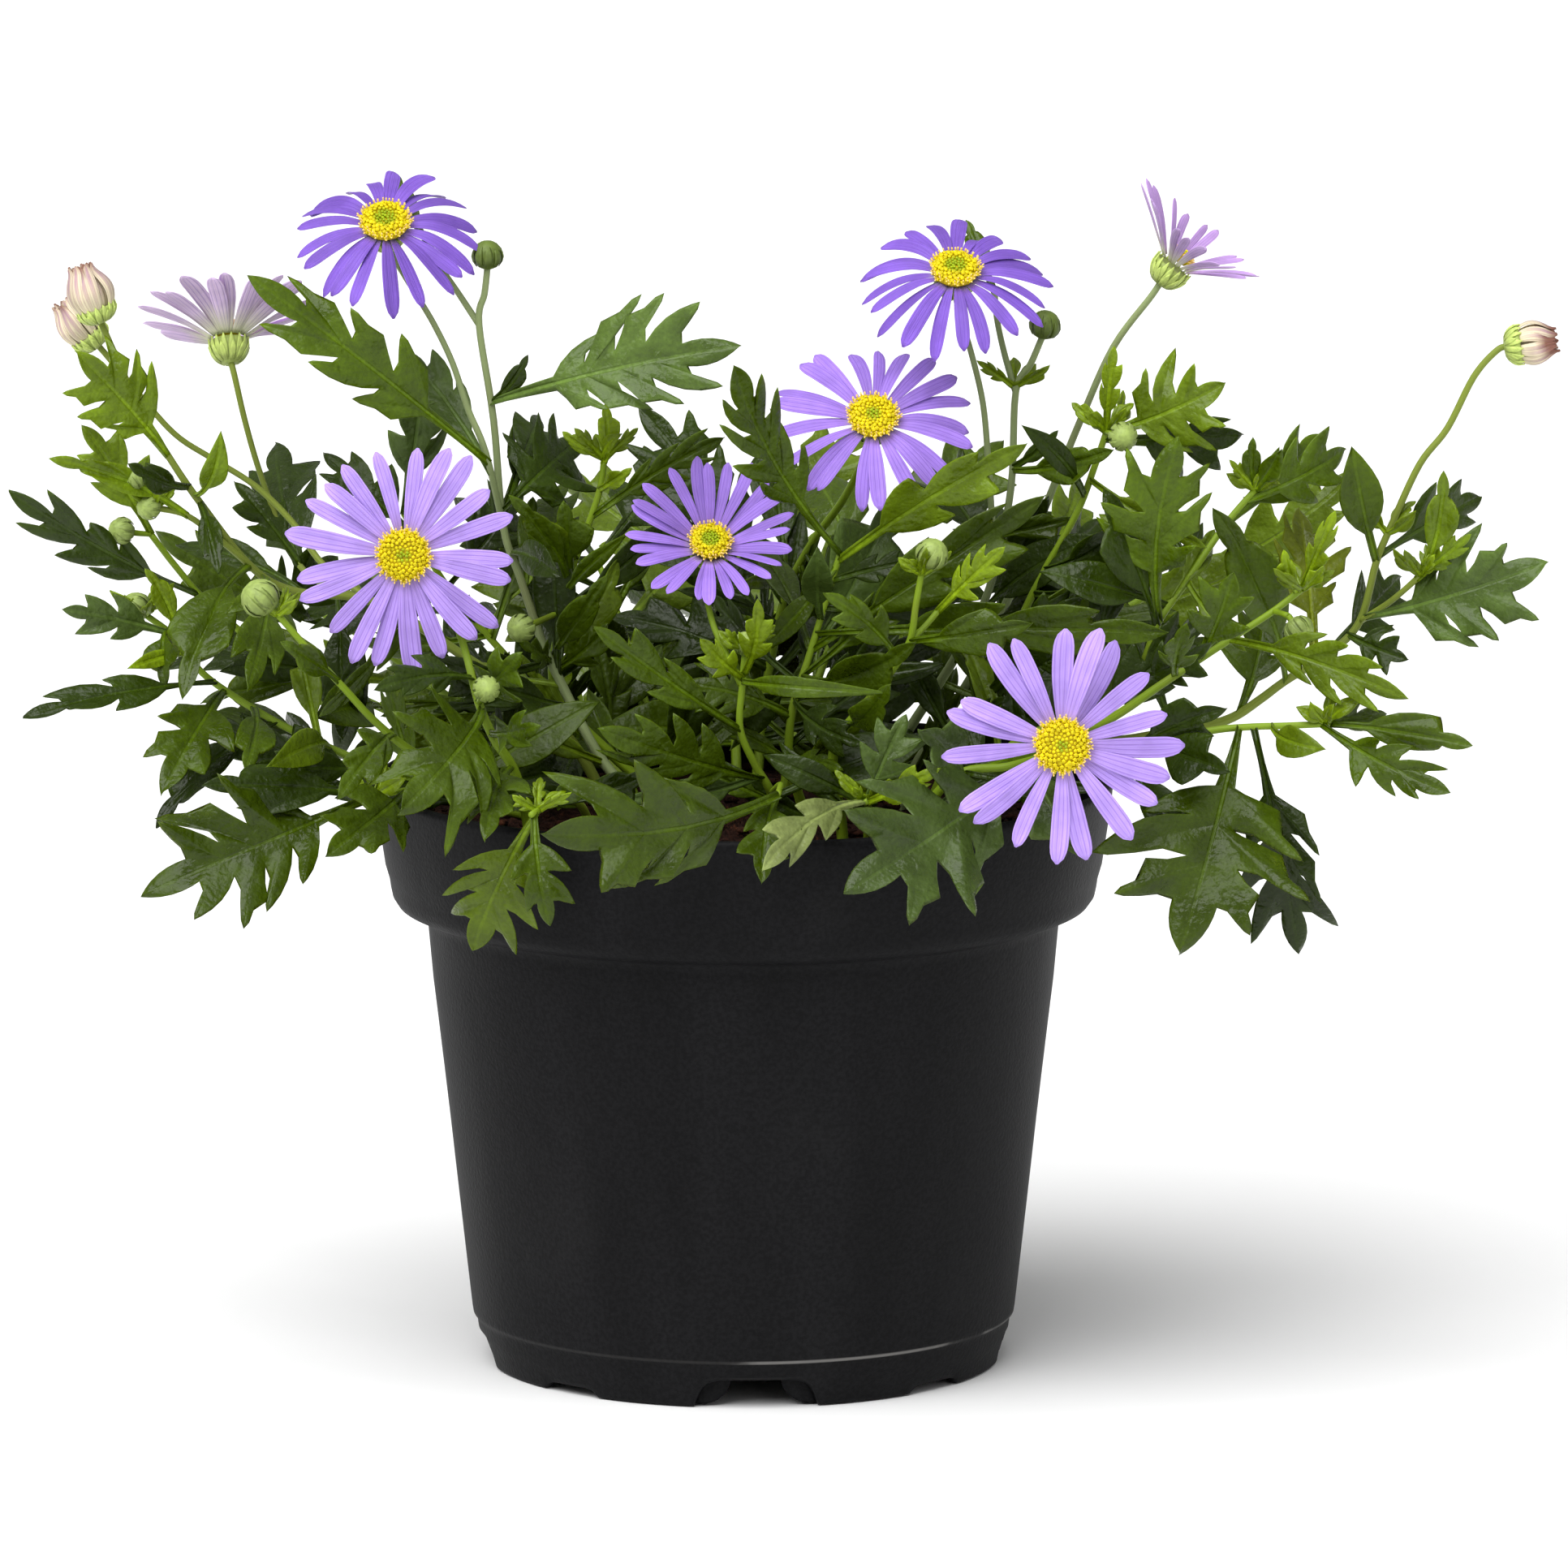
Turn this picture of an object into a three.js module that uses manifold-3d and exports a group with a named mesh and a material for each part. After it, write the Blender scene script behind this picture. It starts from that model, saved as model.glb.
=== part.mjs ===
// Potted swan river daisy: a black nursery pot of peat, leafy shoots, buds and lilac blooms.
// Millimetres, +Z up, the front of the plant towards -Y. The origin is at the foot of the pot,
// under the middle of the plant's own box.
import * as THREE from 'three';
import { mergeVertices } from 'three/addons/utils/BufferGeometryUtils.js';
import Module from 'manifold-3d';

const wasm = await Module();
wasm.setup();

// Driving dimensions
const RIM_RADIUS = 60;
const POT_HEIGHT = 95.7;
const FOOT_RADIUS = 41.9;
const FOOT_RING = 1.6;
const COLLAR_FOOT = 74.2;
const SHOULDER_RADIUS = 51.3;
const LEDGE_RADIUS = 55.2;
const COLLAR_RADIUS = 57.2;
const WALL = 1.3;
const WIDE_NOTCH = [19, 6, 4.4];
const NARROW_NOTCH = [11, 6, 1.3];
const NOTCHES = 8;
const NOTCH_TURN = 3;
const FLOOR_UNDER = 6.2;
const FLOOR_OVER = 8;
const DRAINS = 4;
const DRAIN_RADIUS = 4;
const DRAIN_CIRCLE = 27;
const DRAIN_TURN = 25;
const SOIL_TOP = 88.4;
const ROOT_BOTTOM = 76;
const GAP = 0.3;
const BLADE = 0.7;
const FOLDED_FROM = 8.4;
const SHORT_LEAF = 25;
const SHORT_LEAF_PAIRS = 2;
const STEM_RADIUS = 1.25;
const STALK_RADIUS = 0.8;
const BUD_STALK = 0.6;
const FOOT_STEP = 1.5;
const STEM_SIDES = 4;
const BUD_SIDES = 4;
const CALYX_SIDES = 6;
const DISC_SIDES = 10;
const CLOSED_SIDES = 10;
const POT_SIDES = 26;
const SOIL_SIDES = 20;
const CALYX_RADIUS = 3.8;
const CALYX_HEIGHT = 4.6;
const DISC_RADIUS = 4.4;
const DISC_HEIGHT = 2.2;
const HUB_RADIUS = 3.5;
const HUB_HEIGHT = 0.7;
const PETAL_WIDTH = 3.1;

// A place on the plant is written as seen from the front: [across, height, depth], where across
// and height are read in the plane of the pot's axis and depth runs back from that plane.
const EYE = new THREE.Vector3(6.6, -2560.5, 546);
const UP = new THREE.Vector3(0, 0, 1);

function sight([across, height, depth]) {
  const far = 1 + depth / -EYE.y;
  return new THREE.Vector3(
    EYE.x + (across - EYE.x) * far,
    depth,
    EYE.z + (height - EYE.z) * far,
  );
}

// Shoots: root is where the stem leaves the peat, path the places it passes, then its branches,
// its leaves and its buds. A branch starts on the stem at its first place.
// Leaf: [foot across, foot height, tip across, height, depth, half width, finger pairs, roll, arch]
// Bud: [across, height, depth, radius]
const SHOOTS = {
  shoot_left_flowers: {
    colour: 0x5f7a35,
    root: [-22, -4],
    path: [[-30, 104, -6], [-46, 116, -8], [-60, 124.5, -8], [-73, 126.3, -10],
      [-80, 130.5, -12], [-88, 140.8, -14], [-93, 148.3, -14], [-98, 157, -13], [-103.4, 169.2, -12]],
    branches: [
      [[-60, 124.5, -8], [-68, 130.5, -3], [-73, 137.5, 0], [-79, 143.5, 1],
        [-86, 148, 1], [-92, 152, 1], [-98, 158.8, 1], [-103.2, 165.2, 1]],
      [[-60, 124.5, -8], [-70, 128.5, 7], [-74.5, 135.5, 10], [-78.2, 145.5, 10],
        [-80.6, 154, 10], [-82.3, 161.6, 10]],
      [[-80, 130.5, -12], [-84, 134, -14], [-90, 138.6, -16], [-95.4, 140, -18]],
    ],
    leaves: [
      [-93, 148.3, -108, 165.5, -24, 8, 3, 10, 0.05],
      [-90.5, 143.5, -99.5, 147.2, -30, 2.6, 1, 0, 0.05],
      [-73.5, 130, -82.5, 144.3, 12, 4.2, 2, 20, 0.08],
      [-72, 127, -92, 133.8, 8, 2.6, 2, 30, 0.05],
      [-80.5, 130.5, -91, 108.5, -36, 5, 1, 15, 0.12],
      [-78, 128.5, -80.5, 110, -44, 5.4, 2, -20, 0.12],
    ],
    buds: [[-96.4, 140, -19, 1.9], [-98.5, 144.8, -20, 1.8]],
  },
  shoot_left_long: {
    colour: 0x6f8c33,
    root: [-34, -16],
    path: [[-40, 90.5, -18], [-48, 94, -20], [-58, 96.6, -22], [-66, 99.9, -22],
      [-74.5, 104, -22], [-82, 108.5, -20], [-88, 113, -18], [-92, 118.5, -16], [-97, 122.4, -16]],
    branches: [[[-48, 94, -20], [-54, 93.6, -28], [-60, 92.4, -34]]],
    leaves: [
      [-92, 119, -97, 130, -20, 2.1, 1, 10, 0.05],
      [-92, 121, -110.5, 123.3, -26, 3.6, 2, 15, 0.06],
      [-93.5, 120, -94, 110.5, -24, 4, 1, 20, 0.2],
      [-86, 111, -117, 105.5, -34, 3.6, 2, 40, 0.06],
      [-84, 109.5, -94.5, 92.8, -42, 7.5, 2, 10, 0.1],
      [-80, 107, -81, 96.5, -40, 3.4, 1, -10, 0.1],
      [-76, 104.5, -95.5, 87.2, -30, 3.6, 1, 30, 0.05],
      [-60, 92.4, -98, 76, -50, 11, 4, 12, 0.1],
      [-55, 93.4, -68, 82.5, -50, 6.6, 2, 15, 0.12],
      [-60, 92.4, -88, 94.2, -46, 4.4, 1, 30, 0.05],
      [-60, 97, -80, 97.4, -38, 2.6, 2, 10, 0.04],
    ],
    buds: [[-98.6, 123.6, -16, 2.4]],
  },
  shoot_left_mid: {
    colour: 0x4c6b2c,
    root: [-30, 12],
    path: [[-38, 98, 12], [-52, 104, 12], [-66, 110.5, 12], [-78, 117, 10],
      [-87, 124.5, 8], [-92, 130.3, 6], [-96, 135.6, 4]],
    branches: [],
    leaves: [
      [-96, 135.6, -107, 153.5, 0, 5, 2, 10, 0.06],
      [-88, 125.5, -119, 142.8, -2, 5, 3, -25, 0.08],
      [-70, 112, -96, 116, 24, 6, 2, 40, 0.1],
    ],
    buds: [[-100.8, 136.2, 1, 2.1]],
  },
  shoot_left_bud: {
    colour: 0x6a8a34,
    root: [-40, -24],
    path: [[-46, 95.5, -30], [-54, 100, -36], [-60, 105, -39], [-65, 110.5, -41],
      [-70, 116, -42], [-75.5, 122.4, -42]],
    branches: [],
    leaves: [
      [-66, 111, -75, 118, -50, 2.4, 1, 20, 0.1],
      [-57, 103, -66, 92, -62, 4, 2, 10, 0.15],
    ],
    buds: [[-78.4, 125.2, -42, 3]],
  },
  shoot_front_left: {
    colour: 0x6d8f38,
    root: [-34, -33],
    path: [[-37, 96, -37], [-40.5, 102, -39], [-43, 108, -38], [-45, 116, -35],
      [-47.5, 123, -29], [-51.5, 129, -27], [-54.3, 131.6, -28.5]],
    branches: [],
    leaves: [
      [-43, 107, -56, 89.7, -66, 11, 3, 0, 0.14],
      [-43, 108, -36, 116, -50, 5, 2, 0, 0.05],
      [-41, 102.5, -33, 104, -56, 3.4, 2, 0, 0.08],
      [-44, 112, -60, 110, -52, 4, 2, 25, 0.1],
    ],
    buds: [[-41.7, 110.2, -50, 2]],
  },
  shoot_front_low: {
    colour: 0x5a7d36,
    root: [-24, -36],
    path: [[-26.5, 91, -42], [-31, 91.6, -50], [-34.5, 89.4, -60]],
    branches: [],
    leaves: [
      [-33.5, 90.2, -44, 67, -54, 8.5, 3, 5, 0.12],
      [-34, 89.7, -31.5, 71, -64, 5, 2, 0, 0.1],
      [-30, 91.4, -15, 96.5, -50, 4, 1, 20, 0.1],
    ],
    buds: [],
  },
  shoot_upper_left: {
    colour: 0x6b7f45,
    root: [-16, -14],
    path: [[-24, 100, -12], [-30, 112, -10], [-32.5, 117.5, -10], [-36, 128, -10],
      [-38.9, 137, -10], [-40.4, 154.3, -10], [-42.7, 169.9, -10], [-41.8, 175, -10], [-41.3, 179.4, -10]],
    branches: [
      [[-42.7, 169.9, -10], [-46, 175, -7], [-49.3, 180, -4], [-51, 184, -1]],
      [[-38.9, 137, -10], [-41.7, 149, -15], [-44.5, 156, -15], [-47, 163.6, -15],
        [-50, 170, -14], [-53.2, 175.4, -11], [-55.7, 179.6, -7.5]],
    ],
    leaves: [
      [-40, 157.5, -0.3, 166.5, -22, 9, 4, -12, 0.08],
      [-41, 147, -80, 178, -26, 7, 3, 10, 0.06],
      [-40.4, 146, -55.5, 165.5, 4, 5.5, 2, 10, 0.08],
      [-39.5, 139, -26.5, 151, 6, 9, 3, 10, 0.1],
      [-50.5, 183, -56, 194.6, 8, 1.8, 1, 0, 0.05],
    ],
    buds: [[-41.3, 181.3, -10, 2.4]],
  },
  shoot_centre_left: {
    colour: 0x6a8535,
    root: [-12, -2],
    path: [[-20, 98, -4], [-28, 106, -6], [-31, 112, -7], [-30, 120, -7],
      [-28, 129, -8], [-25.5, 136, -8], [-23.2, 143, -8], [-22.5, 148, -8]],
    branches: [],
    leaves: [
      [-22.6, 147, -22.4, 157, -9, 2.1, 1, 0, 0.1],
      [-25, 138, -3, 151.5, -4, 3.4, 3, 20, 0.08],
      [-28, 129.5, -29, 141, -16, 4, 1, 0, 0.08],
      [-28.5, 127.5, -38, 142, -22, 2.2, 1, 10, 0.08],
      [-29.5, 122.5, -11, 138, 6, 3, 0, 25, 0.08],
      [-30.8, 113, -22, 121, -34, 4, 2, 20, 0.1],
      [-29, 107, -46, 112, -22, 4, 2, 30, 0.1],
    ],
    buds: [[-36.1, 120.1, -20, 2.2]],
  },
  shoot_left_back: {
    colour: 0x5c7a4a,
    root: [-18, 14],
    path: [[-26, 102, 18], [-38, 115, 22], [-48, 127, 22], [-55, 139, 18]],
    branches: [],
    leaves: [
      [-55, 139, -51.5, 163.5, 14, 6.5, 2, 0, 0.06],
      [-52, 134, -68, 149, 26, 6, 2, 20, 0.1],
      [-44, 122, -72, 122, 36, 6, 3, 30, 0.1],
    ],
    buds: [],
  },
  shoot_bloom_mid: {
    colour: 0x6f9434,
    root: [6, -22],
    path: [[4.5, 93, -30], [2, 97.5, -32], [-0.5, 103.5, -33], [-0.2, 110.5, -33], [0.3, 116.5, -33]],
    branches: [
      [[-0.2, 110.5, -33], [-2.5, 115.5, -32], [-4.8, 120.5, -30], [-6, 126, -25], [-5.8, 130.4, -17.6]],
      [[4.5, 93, -30], [6, 94.4, -46], [5.6, 92.8, -60]],
    ],
    leaves: [
      [5.6, 92.8, -33, 86.3, -84, 12, 3, -8, 0.1],
      [3.5, 95, -23.5, 103.5, -52, 6, 3, -10, 0.06],
      [-0.5, 103.5, -24.5, 120.5, -48, 3.6, 2, 20, 0.05],
      [0, 113, 2.4, 125, -40, 2.6, 2, 0, 0.1],
      [-0.1, 112, -7, 118.5, -40, 3, 2, 0, 0.1],
      [5.8, 93.4, 3, 78, -70, 5, 2, 0, 0.1],
    ],
    buds: [[0.4, 117.6, -33, 2]],
  },
  shoot_centre: {
    colour: 0x64843a,
    root: [10, -12],
    path: [[7.5, 98, -18], [8, 107, -20], [10.5, 115, -20], [13.5, 125, -20], [15.7, 132.4, -20]],
    branches: [],
    leaves: [
      [15.6, 132, -1.5, 163.3, -30, 6, 4, 20, -0.06],
      [15.5, 131.5, 46, 150.5, -34, 5, 2, 15, 0.06],
      [12, 119, 69, 119.5, -36, 4.6, 2, 20, 0.07],
      [11, 116, 24, 141, -10, 7.5, 1, 10, 0.06],
      [12.5, 121.5, 12, 133.5, -34, 2.6, 0, 0, 0.06],
      [11, 116.5, 49, 142, -22, 5.4, 2, 20, 0.06],
      [8.2, 108, 20, 101, -36, 4, 2, 20, 0.1],
      [8, 106, -10, 111, -24, 5, 3, 20, 0.1],
    ],
    buds: [],
  },
  shoot_bloom_upper_mid: {
    colour: 0x55722e,
    root: [2, 4],
    path: [[3, 104, 8], [4.5, 115, 9], [7, 126, 8], [11, 134, 5], [16, 141, -1], [19.3, 147.5, -7],
      [20.6, 151.4, -12.5]],
    branches: [],
    leaves: [
      [6.5, 124, -17, 156.5, 20, 7, 3, 10, 0.06],
      [7, 126, 3.5, 154.7, 24, 4, 1, 10, 0.06],
      [4.3, 114, -22, 122, 16, 6, 2, 30, 0.1],
    ],
    buds: [],
  },
  shoot_centre_bud: {
    colour: 0x64852f,
    root: [16, -24],
    path: [[14.5, 98, -29], [16, 103, -31], [20, 108, -33], [24, 113, -34], [27, 118, -35],
      [28, 124, -36], [28.9, 129.2, -36]],
    branches: [[[27, 118, -35], [29.5, 120.5, -34], [32, 123.5, -33]]],
    leaves: [
      [31.5, 123, 42.5, 133.5, -40, 3.2, 3, 0, 0.05],
      [27, 118, 47, 121, -44, 4, 1, 20, 0.08],
    ],
    buds: [[30.6, 132.4, -37, 2.5]],
  },
  shoot_front_right_low: {
    colour: 0x7b8f5a,
    root: [20, -38],
    path: [[20.2, 91, -45], [20, 91.6, -52]],
    branches: [],
    leaves: [
      [20, 91.4, 3, 80, -68, 4.4, 2, 20, 0.1],
      [20.1, 91.4, 26.5, 106, -50, 4.4, 2, 0, 0.08],
      [20, 91.5, 32, 97, -56, 2.6, 2, 0, 0.1],
    ],
    buds: [],
  },
  shoot_upper_right: {
    colour: 0x66793f,
    root: [20, 2],
    path: [[26, 102, 2], [33, 113, 0], [38, 122, -2], [40.8, 130, -4], [43.4, 143.5, -6],
      [44.1, 158.9, -6], [46.5, 163.5, -6], [48.4, 168, -6]],
    branches: [
      [[44.1, 158.9, -6], [42.3, 165, -4], [41, 171, -1], [40.6, 176, 2]],
      [[40.8, 130, -4], [40.3, 138, -9], [39.7, 147, -11], [38.8, 157, -11],
        [36.8, 165.6, -10], [35.3, 170.4, -7.6]],
    ],
    leaves: [
      [43.8, 146, 60, 149.5, -14, 3, 1, 10, 0.06],
      [41, 131, 30, 146, 16, 6, 2, 20, 0.1],
      [39.5, 126, 58, 138, 14, 6, 2, 20, 0.1],
      [40.7, 175, 36, 187, 10, 1.8, 1, 0, 0.05],
    ],
    buds: [[48.8, 169.9, -6, 2.4]],
  },
  shoot_right_flower: {
    colour: 0x6f8648,
    root: [26, 12],
    path: [[32, 104, 14], [38, 114, 12], [44, 127.5, 9], [49.3, 141, 7], [54.6, 154.3, 6],
      [59.9, 166.3, 6], [66, 174.6, 6]],
    branches: [],
    leaves: [
      [41, 121, 60, 131, 26, 6, 2, 20, 0.1],
    ],
    buds: [],
  },
  shoot_right_leafy: {
    colour: 0x648a35,
    root: [30, -6],
    path: [[36, 103, -9], [42, 115, -11], [48, 128, -12], [54, 139, -13], [57, 147, -13], [58.8, 152.4, -13]],
    branches: [],
    leaves: [
      [58.6, 152, 78, 160.5, -18, 7.5, 3, 0, 0.06],
      [58.3, 151, 81, 152, -8, 6.5, 2, 20, 0.08],
      [58.7, 152, 60, 166.5, -20, 1.8, 2, 0, 0.05],
      [55, 142, 45, 153.5, -20, 2, 0, 10, 0.06],
      [49, 130, 64, 138.5, -18, 4, 1, 20, 0.12],
      [47, 126, 66, 129, -22, 3.6, 1, 25, 0.08],
    ],
    buds: [[61.5, 151.6, -26, 2.2]],
  },
  shoot_right_stem: {
    colour: 0x6b7c3e,
    root: [34, -14],
    path: [[44, 101, -19], [54, 105, -23], [63, 110.5, -25], [65.5, 116, -25], [67.5, 121.5, -25],
      [72, 128, -21], [78, 137, -17], [83, 143, -15]],
    branches: [],
    leaves: [
      [67.5, 121.5, 70.5, 151.5, -34, 9.5, 3, 5, 0.06],
      [67, 120.5, 58.5, 143, -30, 5, 1, 15, 0.08],
      [81, 141, 97.6, 149.6, -6, 6, 2, 15, 0.06],
      [78, 137, 93.5, 152, 0, 5, 2, 15, 0.06],
      [69, 124, 48, 129.5, -28, 3.6, 0, 25, 0.08],
    ],
    buds: [],
  },
  shoot_far_right: {
    colour: 0x5f7d38,
    root: [38, 4],
    path: [[52, 99.6, 0], [64, 102, -5], [74, 103.8, -8], [79.5, 105.5, -10], [84, 108.5, -11],
      [88, 111.5, -12], [95, 116, -12], [100, 121.3, -12], [102.6, 131, -12], [105, 137, -12],
      [109.5, 147, -12], [114, 153, -12], [118.2, 161.4, -12], [121.9, 165.7, -12]],
    branches: [[[100, 121.3, -12], [105, 124.6, -17], [110, 129, -20]]],
    leaves: [
      [88, 111.5, 76, 140, -26, 4.8, 1, 10, 0.08],
      [93, 115, 90, 140, 4, 7, 3, 15, 0.08],
      [95, 116, 106.5, 128.5, 6, 5.4, 2, 20, 0.08],
      [102.5, 131, 98.5, 150, -16, 3.6, 0, 10, 0.06],
      [103, 132, 119.5, 141.8, 0, 5.6, 2, 15, 0.1],
      [110, 129, 113.4, 146, -26, 2.7, 1, 0, 0.05],
      [101, 121.8, 130.5, 131, -24, 9.5, 3, 0, 0.1],
      [98, 119.6, 108, 115, -18, 4, 2, 10, 0.08],
      [80, 106, 84, 125, 0, 6.4, 2, 15, 0.08],
      [70, 103.2, 62, 122, 8, 6, 3, 15, 0.1],
    ],
    buds: [],
  },
  shoot_right_young: {
    colour: 0x7a9b3a,
    root: [40, -14],
    path: [[50, 100.6, -24], [60, 105.5, -30], [68, 111, -32], [74, 115, -31], [80, 119, -29],
      [86, 123, -27], [90.6, 126.6, -26]],
    branches: [[[86, 123, -27], [88.4, 122.2, -30]]],
    leaves: [
      [79, 118.4, 108, 108.5, -46, 5, 3, 15, 0.1],
      [90.6, 126.6, 96, 139.5, -32, 1.8, 2, 0, 0.05],
      [74, 115, 79.5, 129.5, -38, 6, 2, 15, 0.06],
      [70, 112.4, 72, 121, -42, 3.6, 2, 10, 0.1],
    ],
    buds: [[90.2, 119.8, -31, 2.3]],
  },
  shoot_right_low: {
    colour: 0x587a30,
    root: [34, -26],
    path: [[47, 95.4, -31], [58, 98.6, -37], [68, 101.4, -41], [76, 103.3, -42], [82, 103.9, -42],
      [88, 104.1, -42], [95, 104.4, -42]],
    branches: [],
    leaves: [
      [94.5, 104.4, 118.5, 100.8, -50, 3, 1, 10, 0.04],
      [94, 104.4, 115, 93, -54, 4.6, 3, 10, 0.08],
      [86, 104, 94.5, 100.2, -54, 2.6, 0, 10, 0.15],
      [80.5, 103.8, 71, 66.5, -60, 15, 3, -5, 0.08],
      [83, 104, 90.5, 66.5, -36, 8, 3, 15, 0.08],
      [62, 99.8, 75.5, 84, -50, 3.2, 0, 10, 0.06],
      [66, 101, 79, 96.6, -58, 5, 1, 0, 0.1],
      [64, 100.4, 78.5, 107, -52, 4, 1, 0, 0.1],
    ],
    buds: [],
  },
  shoot_bloom_right: {
    colour: 0x5f7f3a,
    root: [26, -36],
    path: [[34, 95.5, -41], [43, 97.4, -42], [49.5, 99.4, -47], [51.2, 100.6, -54]],
    branches: [],
    leaves: [
      [49, 99, 16.5, 76.5, -67, 12, 3, 0, 0.02],
      [47, 98.3, 55, 82.5, -62, 5, 1, 10, 0.1],
      [36, 94.8, 28.5, 103.5, -56, 5.4, 1, 10, 0.08],
    ],
    buds: [],
  },
};

// Shoots of the back and the sides: [root azimuth, lean azimuth, reach, height], in degrees and mm
const BACK_SHOOTS = [
  [48, 30, 86, 118],
  [78, 66, 54, 122],
  [92, 92, 84, 112],
  [112, 118, 52, 120],
  [145, 148, 84, 112],
];
const BACK_LEAVES = 6;
const BACK_ROOT_RADIUS = 34;

// Blooms: [across, height, depth, axis x, y, z, petals, radius, lift in degrees, droop in mm]
const BLOOMS = {
  bloom_left_upper: [-57.8, 185.4, -12, 0, -0.61, 0.79, 17, 16.4, 4, 5],
  bloom_right_upper: [34.2, 177.6, -12, 0.03, -0.58, 0.81, 17, 16.6, 4, 5],
  bloom_left_centre: [-54.9, 132.2, -34.5, -0.05, -0.99, 0.12, 20, 19.2, 2, 0.6],
  bloom_centre: [-5.4, 133.3, -20, 0.03, -0.75, 0.66, 18, 15, 19, -0.6],
  bloom_right_centre: [21, 153.8, -17, 0.02, -0.74, 0.67, 19, 17, 4, 3.4],
  bloom_right_front: [51.7, 101, -61, 0.03, -0.99, 0.1, 17, 19.6, 3, 0.4],
  bloom_left_back: [-83.2, 167, 12.5, -0.08, 0.5, 0.86, 17, 14.6, 28, 0.5],
  bloom_right_side: [69.4, 179.4, 6, 0.62, -0.05, 0.78, 15, 13.6, 30, -0.4],
};

// Closed blooms: [foot across, height, depth, tip across, height, depth, length, radius]
const CLOSED_BLOOMS = {
  bloom_closed_left_a: [-103.7, 170.2, -12, -107.4, 179.8, -12, 10.4, 3.8],
  bloom_closed_left_b: [-104.2, 166.2, 1, -110.6, 174.4, 1, 10, 3.6],
  bloom_closed_right: [123, 166.3, -12, 131, 167.4, -12, 9, 3.5],
};

// A small repeatable random source
function randomFrom(seed) {
  let state = seed;
  return () => {
    state = (state * 1664525 + 1013904223) % 4294967296;
    return state / 4294967296;
  };
}

// Closed solid from corner points and triangles
function solidFrom(points, faces) {
  const vertProperties = new Float32Array(points.flatMap((p) => [p.x, p.y, p.z]));
  const triVerts = new Uint32Array(faces.flat());
  return new wasm.Manifold(new wasm.Mesh({ numProp: 3, vertProperties, triVerts }));
}

// Closed solid from a three.js geometry
function solidOfGeometry(geometry) {
  const bare = geometry.clone();
  bare.deleteAttribute('normal');
  bare.deleteAttribute('uv');
  const merged = mergeVertices(bare, 1e-3);
  const vertProperties = merged.attributes.position.array;
  const triVerts = new Uint32Array(merged.index.array);
  return new wasm.Manifold(new wasm.Mesh({ numProp: 3, vertProperties, triVerts }));
}

// Geometry of a solid, its largest body only
function geometryOf(solid) {
  const bodies = solid.decompose().sort((a, b) => b.volume() - a.volume());
  const mesh = bodies[0].getMesh();
  const geometry = new THREE.BufferGeometry();
  geometry.setAttribute('position', new THREE.BufferAttribute(new Float32Array(mesh.vertProperties), 3));
  geometry.setIndex(new THREE.BufferAttribute(new Uint32Array(mesh.triVerts), 1));
  geometry.computeVertexNormals();
  return geometry;
}

function joined(solids) {
  return wasm.Manifold.union(solids);
}

// Solid of revolution about +Z from [radius, height] points
function turned(profile, sides) {
  const points = profile.map(([r, z]) => new THREE.Vector2(r, z));
  const geometry = new THREE.LatheGeometry(points, sides);
  geometry.rotateX(Math.PI / 2);
  return solidOfGeometry(geometry);
}

// Two unit directions across an axis
function acrossAxis(axis) {
  const helper = Math.abs(axis.z) > 0.9 ? new THREE.Vector3(1, 0, 0) : UP;
  const right = helper.clone().cross(axis).normalize();
  const over = axis.clone().cross(right).normalize();
  return [right, over];
}

// Rings of equal point count, closed at both ends by a point
function skinned(rings, start, end) {
  const count = rings[0].length;
  const points = [start, ...rings.flat(), end];
  const last = points.length - 1;
  const faces = [];
  for (let i = 0; i < count; i += 1) {
    const j = (i + 1) % count;
    faces.push([0, 1 + j, 1 + i]);
    for (let k = 0; k + 1 < rings.length; k += 1) {
      const low = 1 + k * count;
      const high = low + count;
      faces.push([low + i, low + j, high + j]);
      faces.push([low + i, high + j, high + i]);
    }
    const top = 1 + (rings.length - 1) * count;
    faces.push([top + i, top + j, last]);
  }
  return solidFrom(points, faces);
}

// Round body along an axis: stations are [along, radius], ridge lifts every other side
function ridged(centre, axis, stations, sides, ridge, tipHeight) {
  const [right, over] = acrossAxis(axis);
  const rings = stations.map(([along, radius]) => {
    const ring = [];
    for (let i = 0; i < sides; i += 1) {
      const angle = (2 * Math.PI * i) / sides;
      const r = radius * (1 + (i % 2 === 0 ? ridge : -ridge));
      ring.push(centre.clone()
        .addScaledVector(axis, along)
        .addScaledVector(right, r * Math.cos(angle))
        .addScaledVector(over, r * Math.sin(angle)));
    }
    return ring;
  });
  const start = centre.clone().addScaledVector(axis, stations[0][0]);
  const end = centre.clone().addScaledVector(axis, tipHeight);
  return skinned(rings, start, end);
}

// Tapered stem that passes straight from place to place, with one ring at each
function tube(places, startRadius, endRadius, sides) {
  const last = places.length - 1;
  let normal = null;
  const rings = places.map((centre, k) => {
    const ahead = places[Math.min(k + 1, last)];
    const behind = places[Math.max(k - 1, 0)];
    const along = ahead.clone().sub(behind).normalize();
    normal = normal ? normal.addScaledVector(along, -normal.dot(along)).normalize() : acrossAxis(along)[0];
    const other = along.clone().cross(normal);
    const radius = startRadius + (endRadius - startRadius) * (k / last);
    const ring = [];
    for (let i = 0; i < sides; i += 1) {
      const angle = (2 * Math.PI * i) / sides;
      ring.push(centre.clone()
        .addScaledVector(normal, radius * Math.cos(angle))
        .addScaledVector(other, radius * Math.sin(angle)));
    }
    return ring;
  });
  return skinned(rings, places[0], places[last]);
}

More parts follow.
